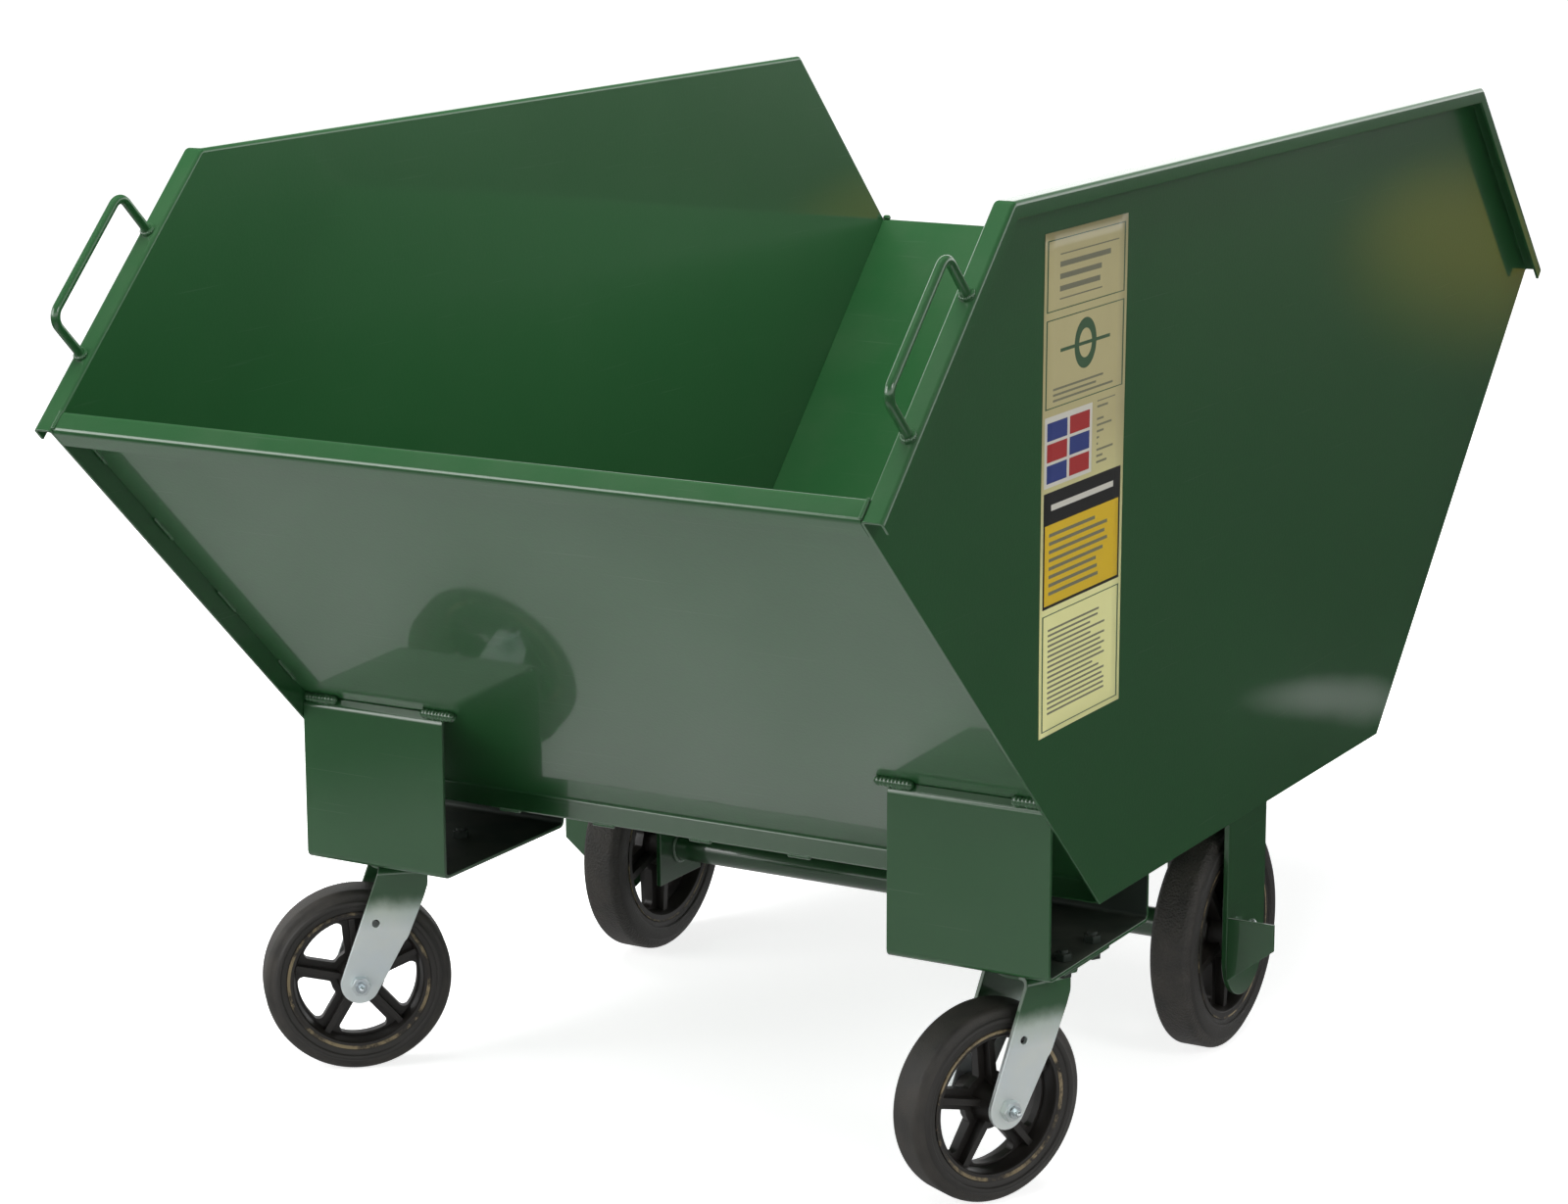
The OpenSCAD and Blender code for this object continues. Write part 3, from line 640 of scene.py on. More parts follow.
def ring_bead(bm, matrix, ring_r, radius):
    """A bead laid all round a rod or tube."""
    count = max(8, round(2 * math.pi * ring_r / (radius * 0.8)))
    turns = [2 * math.pi * i / count for i in range(count)]
    ring = [matrix @ Vector((ring_r * math.cos(a), ring_r * math.sin(a), 0)) for a in turns]
    bead_along(bm, ring, radius)


def handle_frame(sign):
    """From the handle's own axes (X along the flange, Z off it) to the cart's."""
    along = (rim_start - front_lip).normalized()
    rows = ((0, -1, 0, sign * (panel_x + flange_x) / 2),
            (along.x, 0, -along.y, front_lip.x),
            (along.y, 0, along.x, front_lip.y),
            (0, 0, 0, 1))
    return Matrix(rows) @ Matrix.Translation((handle_start, 0, 0))


def handle(side, sign):
    bm = bmesh.new()
    made = bmesh.ops.create_circle(bm, segments=24, radius=rod_r)
    ring = made["verts"] + list({e for v in made["verts"] for e in v.link_edges})
    straight = handle_reach - handle_bend
    ring = rod_straight(bm, ring, (0, 0, straight))
    ring = rod_bend(bm, ring, (handle_bend, 0, straight))
    ring = rod_straight(bm, ring, (handle_length - 2 * handle_bend, 0, 0))
    ring = rod_bend(bm, ring, (handle_length - handle_bend, 0, straight))
    rod_straight(bm, ring, (0, 0, -straight))
    bmesh.ops.holes_fill(bm, edges=[e for e in bm.edges if e.is_boundary])
    bmesh.ops.transform(bm, matrix=handle_frame(sign), verts=bm.verts)
    bmesh.ops.recalc_face_normals(bm, faces=bm.faces)
    green_piece(bm, f"handle_rod_{side}", [f"handle_{side}"])
    feet = bmesh.new()
    for foot in (0, handle_length):
        turned = handle_frame(sign) @ Matrix.Translation((foot, 0, 0.001))
        ring_bead(feet, turned, rod_r + 0.0006, 0.0027)
    green_piece(feet, f"handle_weld_{side}")


for side, sign in SIDES:
    handle(side, sign)

# ---------------------------------------------------------------- caster boxes
# A plate bent into a U hangs under each front corner, open at both sides. Its front wall's
# top edge is bent in to meet the front sheet and is welded there at both ends.
# Inside, the faces carry a near-black enamel that is painted shade, standing in for the shadow in the box.
box_t = 0.004
box_wall_top_z = 0.418
# A near-black enamel that paints shade: inside the caster boxes, and on the caster bolts and nuts under
# them.
painted_shade_enamel = finished_surface("painted_shade_enamel", (0.006, 0.016, 0.009, 1), 0.6, peel=0.8,
                               scratches=0.1, tone_range=0.3)


def caster_box(side, sign):
    low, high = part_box(f"caster_box_{side}")
    inner_x = high.x if sign < 0 else low.x
    outer_x = low.x if sign < 0 else high.x
    wall_top = Vector((low.y, box_wall_top_z))
    tuck = front_recess - sheet_t - 0.0002 - (wall_top - front_lip).dot(front_across)
    path = [Vector((high.y, floor_z - 0.0002)), Vector((high.y, low.z)), Vector((low.y, low.z)),
            wall_top, wall_top + tuck * front_across]
    x0, x1 = sorted((inner_x, outer_x))
    bm = folded_sheet(path, x0, x1, box_t, 0.004, spacing=0)
    middle = Vector(((x0 + x1) / 2, (low.y + high.y) / 2, (low.z + floor_z) / 2))
    # Painted shade: the faces that look into the box get the near-black enamel.
    for face in bm.faces:
        facing_in = face.normal.dot(middle - face.calc_center_median()) > 0
        face.material_index = 1 if facing_in and abs(face.normal.x) < 0.5 else 0
    place_piece(bm, f"box_{side}", "cart", "enamel", [enamel, painted_shade_enamel], [f"caster_box_{side}"],
                eased=0.0006)
    beads = bmesh.new()
    top = wall_top + (tuck - 0.0032) * front_across - 0.0030 * front_along
    for x in (inner_x - sign * 0.010, outer_x - sign * 0.038):
        weld_bead(beads, (x, top.x, top.y), (x + sign * 0.033, top.x, top.y), 0.0056)
    weld_bead(beads, (inner_x, high.y + 0.001, floor_z - 0.001),
              (inner_x + sign * 0.05, high.y + 0.001, floor_z - 0.001), 0.0035)
    green_piece(beads, f"box_weld_{side}")


for side, sign in SIDES:
    caster_box(side, sign)

# ---------------------------------------------------------------- hopper welds
# Short beads laid by hand and enamelled over. At even spaces they hold the front ledge to
# the floor and the sheets to the panels.
def hopper_welds():
    bm = bmesh.new()
    pitch, length = 0.118, 0.022
    for i in range(7):
        x = -sheet_half + 0.06 + i * pitch
        y = floor_start.x + 0.001
        weld_bead(bm, (x, y, floor_z), (x + length, y, floor_z), 0.0028)
    for sign in (-1, 1):
        for i in range(5):
            at = front_lip + front_recess * front_across + front_along * (0.05 + 0.135 * i)
            to = at + front_along * 0.035
            x = sign * (sheet_half - 0.002)
            weld_bead(bm, (x, at.x - 0.002, at.y - 0.002), (x, to.x - 0.002, to.y - 0.002), 0.0022)
        corner = rear_lip + rear_recess * rear_across
        weld_bead(bm, (sign * (sheet_half - 0.002), corner.x, corner.y),
                  (sign * (sheet_half - 0.006), corner.x, corner.y), 0.0035)
        lip = front_lip + 0.5 * front_recess * front_across
        weld_bead(bm, (sign * sheet_half, lip.x - 0.006, lip.y - 0.006),
                  (sign * sheet_half, lip.x + 0.007, lip.y + 0.007), 0.0022)
    green_piece(bm, "hopper_weld")


hopper_welds()

# ---------------------------------------------------------------- rear legs and axle tube
# Four plates hang from the floor sheet and hold the rear axle; a tube between the inner pair
# stiffens them. A gusset stands out from each outer leg to keep feet and kerbs off the axle end.
def joint_named(name):
    return next(j for j in frame["joints"] if j["name"] == name)


def frame_joint(name):
    """The place of a joint in the cart."""
    return Vector(joint_named(name)["pos_m"])


axle_y = frame_joint("rear_roll_right").y
axle_z = frame_joint("rear_roll_right").z
leg_w = 0.104
leg_foot_z = 0.114
guard_t = 0.004
guard_toe_z = 0.132
tube_wall = 0.0034


def leg_plate(name, outline, x0, x1, node):
    """A flat plate cut to an outline in Y and Z, standing between two X places."""
    bm = bmesh.new()
    face = bm.faces.new([bm.verts.new((x0, y, z)) for y, z in outline])
    pull_solid(bm, [face], (x1 - x0, 0, 0))
    green_piece(bm, name, [node], eased=0.0007)


for side, sign in SIDES:
    low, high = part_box(f"outer_leg_{side}")
    round_foot = [(axle_y + leg_w / 2 * math.cos(a), leg_foot_z + leg_w / 2 * math.sin(a))
                  for a in [-math.pi * i / 28 for i in range(29)]]
    outline = [(axle_y - leg_w / 2, high.z), (axle_y + leg_w / 2, high.z)] + round_foot
    leg_plate(f"leg_outer_{side}", outline, low.x, high.x, f"outer_leg_{side}")
    low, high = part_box(f"inner_leg_{side}")
    outline = [(low.y, high.z), (high.y, high.z), (high.y, low.z), (low.y, low.z)]
    leg_plate(f"leg_inner_{side}", outline, low.x, high.x, f"inner_leg_{side}")
    welds = bmesh.new()
    for node in (f"outer_leg_{side}", f"inner_leg_{side}"):
        low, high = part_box(node)
        for x in (low.x, high.x):
            for y in (low.y + 0.006, high.y - 0.036):
                weld_bead(welds, (x, y, high.z - 0.0005), (x, y + 0.030, high.z - 0.0005), 0.003)
    low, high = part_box(f"axle_guard_{side}")
    inner_x = low.x if sign > 0 else high.x
    weld_bead(welds, (inner_x, high.y, low.z + 0.012), (inner_x, high.y, high.z - 0.008), 0.0028)
    green_piece(welds, f"leg_weld_{side}")
    gusset = bmesh.new()
    outer_x = high.x if sign > 0 else low.x
    corners = ((inner_x, high.z), (outer_x, high.z), (outer_x, guard_toe_z), (inner_x, low.z))
    face = gusset.faces.new([gusset.verts.new((x, low.y, z)) for x, z in corners])
    pull_solid(gusset, [face], (0, guard_t, 0))
    green_piece(gusset, f"gusset_{side}", [f"axle_guard_{side}"], eased=0.0006)


def spun(profile, steps=96):
    """A closed profile of (radius, height) turned once round the Z axis."""
    bm = bmesh.new()
    points = [bm.verts.new((r, 0, z)) for r, z in profile]
    edges = [bm.edges.new(pair) for pair in zip(points, points[1:] + points[:1])]
    bmesh.ops.spin(bm, geom=points + edges, cent=(0, 0, 0), axis=(0, 0, 1), angle=2 * math.pi,
                   steps=steps, use_merge=True, use_duplicate=False)
    bmesh.ops.remove_doubles(bm, verts=bm.verts, dist=1e-6)
    bmesh.ops.recalc_face_normals(bm, faces=bm.faces)
    return bm


tube_low, tube_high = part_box("axle_tube")
tube_r = (tube_high.z - tube_low.z) / 2
tube = spun([(tube_r, tube_low.x), (tube_r, tube_high.x), (tube_r - tube_wall, tube_high.x),
             (tube_r - tube_wall, tube_low.x)], 48)
lay_down = Matrix(((0, 0, 1, 0), (0, 1, 0, axle_y), (-1, 0, 0, axle_z), (0, 0, 0, 1)))
bmesh.ops.transform(tube, matrix=lay_down, verts=tube.verts)
green_piece(tube, "tube", ["axle_tube"], eased=0.0005)
tube_welds = bmesh.new()
for x in (tube_low.x + 0.001, tube_high.x - 0.001):
    ring_bead(tube_welds, lay_down @ Matrix.Translation((0, 0, x)), tube_r + 0.0008, 0.003)
green_piece(tube_welds, "tube_weld")

# ---------------------------------------------------------------- zinc-plated fittings
# Kingpins, washers, axle nuts and the rear axle are bought parts of bright zinc plate with a
# faint blue and straw bloom. The top plates were sprayed green with the cart; their bolts and nuts get the
# near-black painted shade enamel.
zinc_silver = (0.74, 0.785, 0.79, 1)


def plated_surface(name, colour, roughness, overspray=False):
    """Zinc plate. Overspray is enamel that drifted down from the box over the top of a fork."""
    material, add, place = new_material(name)
    bloom = noise_at(add, place, 22.0, 3.0)
    tinted = mix_colour(add, bloom, (colour[0] * 0.86, colour[1] * 0.92, colour[2], 1),
                        (colour[0] * 1.04, colour[1] * 1.02, colour[2] * 0.93, 1))
    wear = ramp(add, bloom, 0.0, 1.0, roughness - 0.07, roughness + 0.09)
    grain = relief_of(add, noise_at(add, place, 1400.0, 2.0), 0.25, 0.0001)
    settings = {"Metallic": 1.0, "Base Color": tinted, "Roughness": wear, "Normal": grain}
    if overspray:
        height = add("ShaderNodeSeparateXYZ", {"Vector": place}).outputs["Z"]
        ragged = calc(add, "MULTIPLY_ADD", noise_at(add, place, 30.0, 5.0), 0.016, height)
        mist = ramp(add, ragged, 0.188, 0.210, smooth=True)
        faint = ramp(add, ragged, 0.168, 0.204, 0.0, 0.5)
        hazed = mix_colour(add, faint, tinted, (0.30, 0.44, 0.25, 1))
        settings["Base Color"] = mix_colour(add, mist, hazed, enamel_green)
        settings["Metallic"] = calc(add, "MULTIPLY", calc(add, "SUBTRACT", 1.0, mist), 0.5)
        settings["Coat Weight"] = mist
        settings["Coat Roughness"] = 0.08
    end_in(add, settings)
    return material


zinc = plated_surface("zinc_plate", zinc_silver, 0.34)
bright_zinc = plated_surface("zinc_plate_bright", (0.62, 0.67, 0.69, 1), 0.20)
fork_zinc = plated_surface("zinc_plate_oversprayed", (0.86, 0.91, 0.91, 1), 0.40, overspray=True)


def finish_solid(node, material, eased):
    """Gives a solid its finish, and eases its edges by a live bevel on its welded mesh."""
    solid = frame["nodes"][node]
    if not solid.material_slots:
        solid.data.materials.append(material)
    for place in solid.material_slots:
        place.material = material
    if eased:
        weld = solid.modifiers.new("joined", "WELD")
        weld.merge_threshold = 0.00002
        ease_edges(solid, eased)


for side, _ in SIDES:
    finish_solid(f"caster_plate_{side}", enamel, 0.0006)
    # Painted shade: the bolts and nuts under each box are darkened near-black, to sit in its shadow.
    for node in ("caster_bolts", "caster_nuts"):
        finish_solid(f"{node}_{side}", painted_shade_enamel, 0.0006)
    for node in ("kingpin", "kingpin_nut"):
        finish_solid(f"{node}_{side}", zinc, 0.0006)
    for node in ("swivel_balls", "axle_sleeve", "hub_washers", "caster_rollers", "rear_rollers",
                 "grease_fitting"):
        finish_solid(f"{node}_{side}", zinc, 0)
for node, eased in (("rear_axle", 0.0008), ("axle_washers", 0), ("cotter_pins", 0)):
    finish_solid(node, zinc, eased)

# ---------------------------------------------------------------- caster forks
# A strip of 5 mm steel bent into a U over the wheel and cut to a slanted outline, zinc plated.
# Its top was caught by the green spray when the hopper was painted.
fork_leg_t = 0.005
fork_half = 0.0366
crown_top = 0.232
foot_r = 0.021
hole_at = Vector((-0.0405, 0.1695))
hole_r = 0.0042
# Degrees that each fork is turned from straight ahead as the cart stands.
SWIVELS = {"left": -48.7, "right": -26.9}


def polar(radius, angle):
    return radius * Vector((math.cos(angle), math.sin(angle)))


def circle_loop(radius, count):
    return [polar(radius, 2 * math.pi * i / count) for i in range(count)]


def touch_point(centre, radius, point, turn):
    """Where a line from the point touches a circle, on its left (1) or right (-1) side."""
    off = point - centre
    angle = math.atan2(off.y, off.x) + turn * math.acos(radius / off.length)
    return centre + polar(radius, angle)


def fork_outline(trail, axle_z):
    """The leg's outline seen along the axle, as (distance ahead of the swivel, height)."""
    axle = Vector((-trail, axle_z))
    top_back, knee = Vector((-0.035, crown_top)), Vector((-0.007, 0.150))
    shoulder, top_front = Vector((0.012, 0.197)), Vector((0.0165, 0.211))
    first = touch_point(axle, foot_r, knee, -1) - axle
    last = touch_point(axle, foot_r, top_back, 1) - axle
    start = math.atan2(first.y, first.x)
    sweep = (start - math.atan2(last.y, last.x)) % (2 * math.pi)
    foot = [axle + polar(foot_r, start - sweep * i / 24) for i in range(25)]
    return ([top_back, Vector((top_front.x, crown_top))]
            + round_corner(Vector((top_front.x, crown_top)), top_front, shoulder, 0.02, 3)
            + round_corner(top_front, shoulder, knee, 0.02, 3)
            + round_corner(shoulder, knee, axle, 0.02, 3) + foot)


def filled_plate(loops, height):
    """A plate with holes: closed loops of points filled between, then pulled up to a thickness."""
    bm = bmesh.new()
    edges = []
    for loop in loops:
        ring = [bm.verts.new((p[0], p[1], -height / 2)) for p in loop]
        edges += [bm.edges.new(pair) for pair in zip(ring, ring[1:] + ring[:1])]
    bmesh.ops.triangle_fill(bm, edges=edges, use_beauty=True, use_dissolve=False)
    pull_solid(bm, bm.faces[:], (0, 0, height))
    return bm


def shared_space(first, second):
    """The mesh of the space that two closed shapes share."""
    kept, cutter = as_object(first, "kept"), as_object(second, "cutter")
    cut = kept.modifiers.new("cut", "BOOLEAN")
    cut.operation = "INTERSECT"
    cut.solver = "EXACT"
    cut.object = cutter
    bpy.context.view_layer.update()
    shape = bmesh.new()
    shape.from_mesh(kept.evaluated_get(bpy.context.evaluated_depsgraph_get()).to_mesh())
    bpy.data.objects.remove(kept)
    bpy.data.objects.remove(cutter)
    bmesh.ops.remove_doubles(shape, verts=shape.verts, dist=1e-5)
    bmesh.ops.dissolve_limit(shape, angle_limit=math.radians(1), verts=shape.verts, edges=shape.edges)
    return shape


def hex_head(bm, matrix, corner_r, height):
    """A six-sided head or nut whose corners are turned off at the top."""
    flat_r = corner_r * math.cos(math.pi / 6)
    face_r = flat_r * 0.97
    rings = [bmesh.ops.create_circle(bm, segments=48, radius=1.0)["verts"]]
    for _ in range(2):
        edges = [e for e in bm.edges if all(v in rings[-1] for v in e.verts)]
        rings.append(points_of(bmesh.ops.extrude_edge_only(bm, edges=edges)["geom"]))
    for level, ring in enumerate(rings):
        for v in ring:
            angle = math.atan2(v.co.y, v.co.x)
            across = (angle + math.pi / 6) % (math.pi / 3) - math.pi / 6
            reach = face_r if level == 2 else flat_r / math.cos(across)
            rise = (0, height - 0.5 * (reach - face_r), height)[level]
            v.co = (reach * math.cos(angle), reach * math.sin(angle), rise)
    bmesh.ops.holes_fill(bm, edges=[e for e in bm.edges if e.is_boundary])
    bmesh.ops.transform(bm, matrix=matrix, verts=[v for ring in rings for v in ring])
    bmesh.ops.recalc_face_normals(bm, faces=bm.faces)


def wheel_frame(name):
    """From a wheel's own axes, Z along its axle and X down, to the cart's."""
    axis = joint_named(name)["axis"]
    along, down = Vector(axis).normalized(), Vector((0, 0, -1))
    turn = Matrix((down, along.cross(down), along)).transposed().to_4x4()
    return Matrix.Translation(frame_joint(name)) @ turn


def caster_fork(side):
    axle = frame_joint(f"caster_roll_{side}")
    swivel = frame_joint(f"swivel_{side}")
    trail = (axle - swivel).to_2d().length
    hole = [hole_at + point for point in circle_loop(hole_r, 24)]
    sides = filled_plate([fork_outline(trail, axle.z), hole], 0.09)
    upright = Matrix(((0, 0, 1, 0), (1, 0, 0, 0), (0, 1, 0, 0), (0, 0, 0, 1)))
    bmesh.ops.transform(sides, matrix=upright, verts=sides.verts)
    strip = folded_sheet([Vector((-fork_half, 0.06)), Vector((-fork_half, crown_top)),
                          Vector((fork_half, crown_top)), Vector((fork_half, 0.06))],
                         -0.2, 0.2, fork_leg_t, 0.005, spacing=0)
    bmesh.ops.rotate(strip, matrix=Matrix.Rotation(math.pi / 2, 3, "Z"), verts=strip.verts)
    bm = shared_space(sides, strip)
    crown = spun([(0.0085, crown_top - 0.006), (0.042, crown_top - 0.006),
                  (0.042, crown_top), (0.0085, crown_top)], 64)
    for way in (-1, 1):
        bmesh.ops.bisect_plane(crown, geom=crown.verts[:] + crown.edges[:] + crown.faces[:], dist=1e-6,
                               plane_co=(way * (fork_half - 0.004), 0, 0), plane_no=(way, 0, 0),
                               clear_outer=True)
    bmesh.ops.holes_fill(crown, edges=[e for e in crown.edges if e.is_boundary])
    take_in(bm, crown)
    turn = Matrix.Rotation(math.radians(SWIVELS[side]), 4, "Z")
    stand = Matrix.Translation((swivel.x, swivel.y, 0)) @ turn
    bmesh.ops.transform(bm, matrix=stand, verts=bm.verts)
    bmesh.ops.recalc_face_normals(bm, faces=bm.faces)
    place_piece(bm, f"fork_leg_{side}", f"fork_{side}", "zinc", [fork_zinc], [f"caster_fork_{side}"],
                eased=0.0008)
    ends = bmesh.new()
    nut_side = wheel_frame(f"caster_roll_{side}") @ Matrix.Translation((0, 0, fork_half))
    hex_head(ends, nut_side, 0.0109, 0.009)
    place_piece(ends, f"axle_nut_visible_{side}", f"fork_{side}", "zinc", [zinc], [f"axle_nut_{side}"],
                eased=0.0003)
    finish_solid(f"axle_bolt_{side}", bright_zinc, 0.0007)


for side, _ in SIDES:
    caster_fork(side)

# ---------------------------------------------------------------- wheel cores
# Each wheel has a moulded core: a rim, a hub and a five-armed web between them, every arm
# stiffened on both faces by a narrow rib. The black plastic is satin with a faint flow grain.
core_black = (0.017, 0.015, 0.013, 1)
core_finish = finished_surface("moulded_core", core_black, 0.42, peel=0.9, waves=0.1,
                               bump=0.00012, dust=0.30, scratches=0.05, tone_range=0.25,
                               dust_colour=(0.10, 0.085, 0.07, 1), scratch_colour=(0.06, 0.055, 0.05, 1))


def glue_surface():
    """Tan adhesive squeezed out between core and tyre, rubbed away or blackened in places."""
    material, add, place = new_material("tyre_adhesive")
    patches = noise_at(add, place, 24.0, 7.0, 0.72)
    left = ramp(add, patches, 0.47, 0.57)
    tone = mix_colour(add, left, (0.026, 0.022, 0.018, 1), (0.33, 0.26, 0.15, 1))
    end_in(add, {"Base Color": tone, "Roughness": 0.6, "Normal": relief_of(add, patches, 0.6, 0.0004)})
    return material


tan_glue = glue_surface()


def window_loop(middle, outer_r, inner_r, arm_half, corner_r):
    """One opening between two arms: two arcs and two straight sides, with rounded corners."""
    sector = math.pi / 5
    wide = sector - math.asin(arm_half / outer_r)
    narrow = max(0.03, sector - math.asin(arm_half / inner_r))
    outer = [middle + wide * (1 - i / 5) for i in range(11)]
    inner = [middle - narrow + narrow * i for i in range(3)]
    points = [polar(outer_r, a) for a in outer] + [polar(inner_r, a) for a in inner]
    rounded = []
    for i, point in enumerate(points):
        before, after = points[i - 1], points[(i + 1) % len(points)]
        if i in (0, 10):
            rounded += round_corner(before, point, after, corner_r, 5)
        elif i in (11, 13):
            rounded += round_corner(before, point, after, corner_r * 0.5, 3)
        else:
            rounded.append(point)
    return rounded


def both_halves(profile):
    """A profile of (radius, height) above a wheel's middle plane, with its mirror image below."""
    return profile + [(r, -z) for r, z in reversed(profile)]


def wheel_core(kind, side, rim_r, rim_half, rim_t, hub_r, hub_half, bore_r, arm_w, phase):
    web_r = rim_r - rim_t
    bm = spun(both_halves([(rim_r, rim_half), (web_r + 0.0025, rim_half),
                           (web_r + 0.001, rim_half - 0.002), (web_r - 0.002, 0.006)]), 120)
    parts = [spun(both_halves([(bore_r, hub_half), (hub_r - 0.001, hub_half), (hub_r, 0.6 * hub_half),
                               (hub_r + 0.003, 0.006)]), 48)]
    windows = [window_loop(math.radians(phase + 36 + 72 * i), web_r - 0.004, hub_r + 0.010,
                           arm_w / 2, arm_w * 0.30) for i in range(5)]
    parts.append(filled_plate([circle_loop(web_r, 100), circle_loop(bore_r + 0.002, 40)] + windows,
                              rim_half * 0.45))
    ribs = bmesh.new()
    for i in range(5):
        arm = bmesh.ops.create_cube(ribs, size=1.0)["verts"]
        rib_length = web_r - hub_r + 0.003
        bmesh.ops.scale(ribs, vec=(rib_length, arm_w * 0.32, rim_half * 1.55), verts=arm)
        for v in arm:
            if v.co.x > 0:
                v.co.z *= 0.86
        bmesh.ops.translate(ribs, vec=(hub_r + rib_length / 2 - 0.002, 0, 0), verts=arm)
        bmesh.ops.rotate(ribs, matrix=Matrix.Rotation(math.radians(phase + 72 * i), 3, "Z"), verts=arm)
    parts.append(ribs)
    for part in parts:
        take_in(bm, part)
    bmesh.ops.transform(bm, matrix=wheel_frame(f"{kind}_roll_{side}"), verts=bm.verts)
    place_piece(bm, f"wheel_core_{kind}_{side}", f"{kind}_wheel_{side}", "wheel_core", [core_finish],
                [f"{kind}_core_{side}"], eased=0.0012)


for side, _ in SIDES:
    wheel_core("caster", side, rim_r=0.076, rim_half=0.022, rim_t=0.007, hub_r=0.020,
               hub_half=0.03015, bore_r=0.0149, arm_w=0.021, phase=41)
    wheel_core("rear", side, rim_r=0.092, rim_half=0.023, rim_t=0.008, hub_r=0.025,
               hub_half=0.0295, bore_r=0.016, arm_w=0.027, phase=0)

# ---------------------------------------------------------------- tyres
# Solid rubber tyres moulded on the cores. The casters' tread has fine ribs across it and the
# rear tyres' is pebbled. Steps part the sidewall, and tan adhesive shows beside the core.
rubber_black = (0.030, 0.028, 0.025, 1)


def rubber_surface(name, pebble, pebble_depth):
    """Rubber with a pebbled tread. The tyre's own map runs round it and, from 0 to 1, across it."""
    material, add, place = new_material(name)
    map_place = add("ShaderNodeUVMap", {}, uv_map="tread").outputs["UV"]
    across = add("ShaderNodeSeparateXYZ", {"Vector": map_place})
    pebbles = add("ShaderNodeTexVoronoi", {"Vector": place, "Scale": pebble},
                  feature="F1").outputs["Distance"]
    inside = ramp(add, across.outputs["Y"], 1.0, 0.96)
    tread = calc(add, "MULTIPLY", pebbles, inside)
    height = calc(add, "MULTIPLY_ADD", tread, 1.6, noise_at(add, place, 700.0, 3.0))
    patches = noise_at(add, place, 34.0, 5.0)
    dust = calc(add, "MULTIPLY", ramp(add, patches, 0.35, 0.75), inside)
    tone = mix_colour(add, dust, rubber_black, (0.062, 0.056, 0.048, 1))
    rough = ramp(add, patches, 0.0, 1.0, 0.46, 0.66)
    end_in(add, {"Base Color": tone, "Roughness": rough,
                 "Normal": relief_of(add, height, 1.0, pebble_depth)})
    return material


caster_rubber = rubber_surface("caster_tyre_rubber", 900.0, 0.00015)
rear_rubber = rubber_surface("rear_tyre_rubber", 380.0, 0.0007)


def tyre(kind, side, outer_r, half, core_r, material, ribs):
    """The profile runs from the bead over the sidewall, the step and the crown to the other bead.
    Ribs across the tread, if it has them, are every second line of the crown sunk a little."""
    side_r = outer_r - 0.011
    bead = ((0.0006, 0.0046), (0.003, 0.0027), (0.0082, 0.0023), (0.0090, 0.0004), (0.0102, 0))
    step_up = ((-0.0015, 0), (-0.0004, 0.0010), (0.0008, 0.0030))
    one_side = [Vector((core_r + rise, half - inset)) for rise, inset in bead]
    one_side += [Vector((side_r + rise, half - inset)) for rise, inset in step_up]
    crown = round_corner(one_side[-1], Vector((outer_r, half - 0.0055)), Vector((outer_r, 0)), 0.008, 8)
    steps = 2 * ribs if ribs else 144
    bm = spun(both_halves([(p.x, p.y) for p in one_side + crown]), steps)
    for v in bm.verts:
        radius = v.co.to_2d().length
        number = round(math.atan2(v.co.y, v.co.x) / (2 * math.pi) * steps)
        if ribs and number % 2 and radius > side_r + 0.001:
            v.co.xy *= (radius - 0.0005) / radius
    layer = bm.loops.layers.uv.new("tread")
    step = half - 0.0018
    for face in bm.faces:
        centre = face.calc_center_median()
        middle = math.atan2(centre.y, centre.x)
        for loop in face.loops:
            angle = math.atan2(loop.vert.co.y, loop.vert.co.x)
            angle += 2 * math.pi * round((middle - angle) / (2 * math.pi))
            radius = loop.vert.co.to_2d().length
            edge = abs(loop.vert.co.z) / step if radius > side_r + 0.0005 else 1.2
            loop[layer].uv = (angle / (2 * math.pi), edge)
    name, body, stand = f"tyre_{kind}_{side}", f"{kind}_wheel_{side}", wheel_frame(f"{kind}_roll_{side}")
    bmesh.ops.transform(bm, matrix=stand, verts=bm.verts)
    place_piece(bm, name, body, "rubber", [material], [f"{kind}_tyre_{side}"], sharp=60)
    for way in (-1, 1):
        z = way * (half - 0.0040)
        glue = spun([(core_r - 0.0016, z + way * 0.0008), (core_r + 0.0018, z + way * 0.0018),
                     (core_r + 0.0018, z - way * 0.002), (core_r - 0.0016, z - way * 0.002)], 144)
        bmesh.ops.transform(glue, matrix=stand, verts=glue.verts)
        end = "outer" if way > 0 else "inner"
        place_piece(glue, f"{name}_adhesive_{end}", body, "rubber", [tan_glue])


for side, _ in SIDES:
    tyre("caster", side, outer_r=0.1016, half=0.0254, core_r=0.076, material=caster_rubber, ribs=260)
    tyre("rear", side, outer_r=0.127, half=0.0255, core_r=0.092, material=rear_rubber, ribs=0)

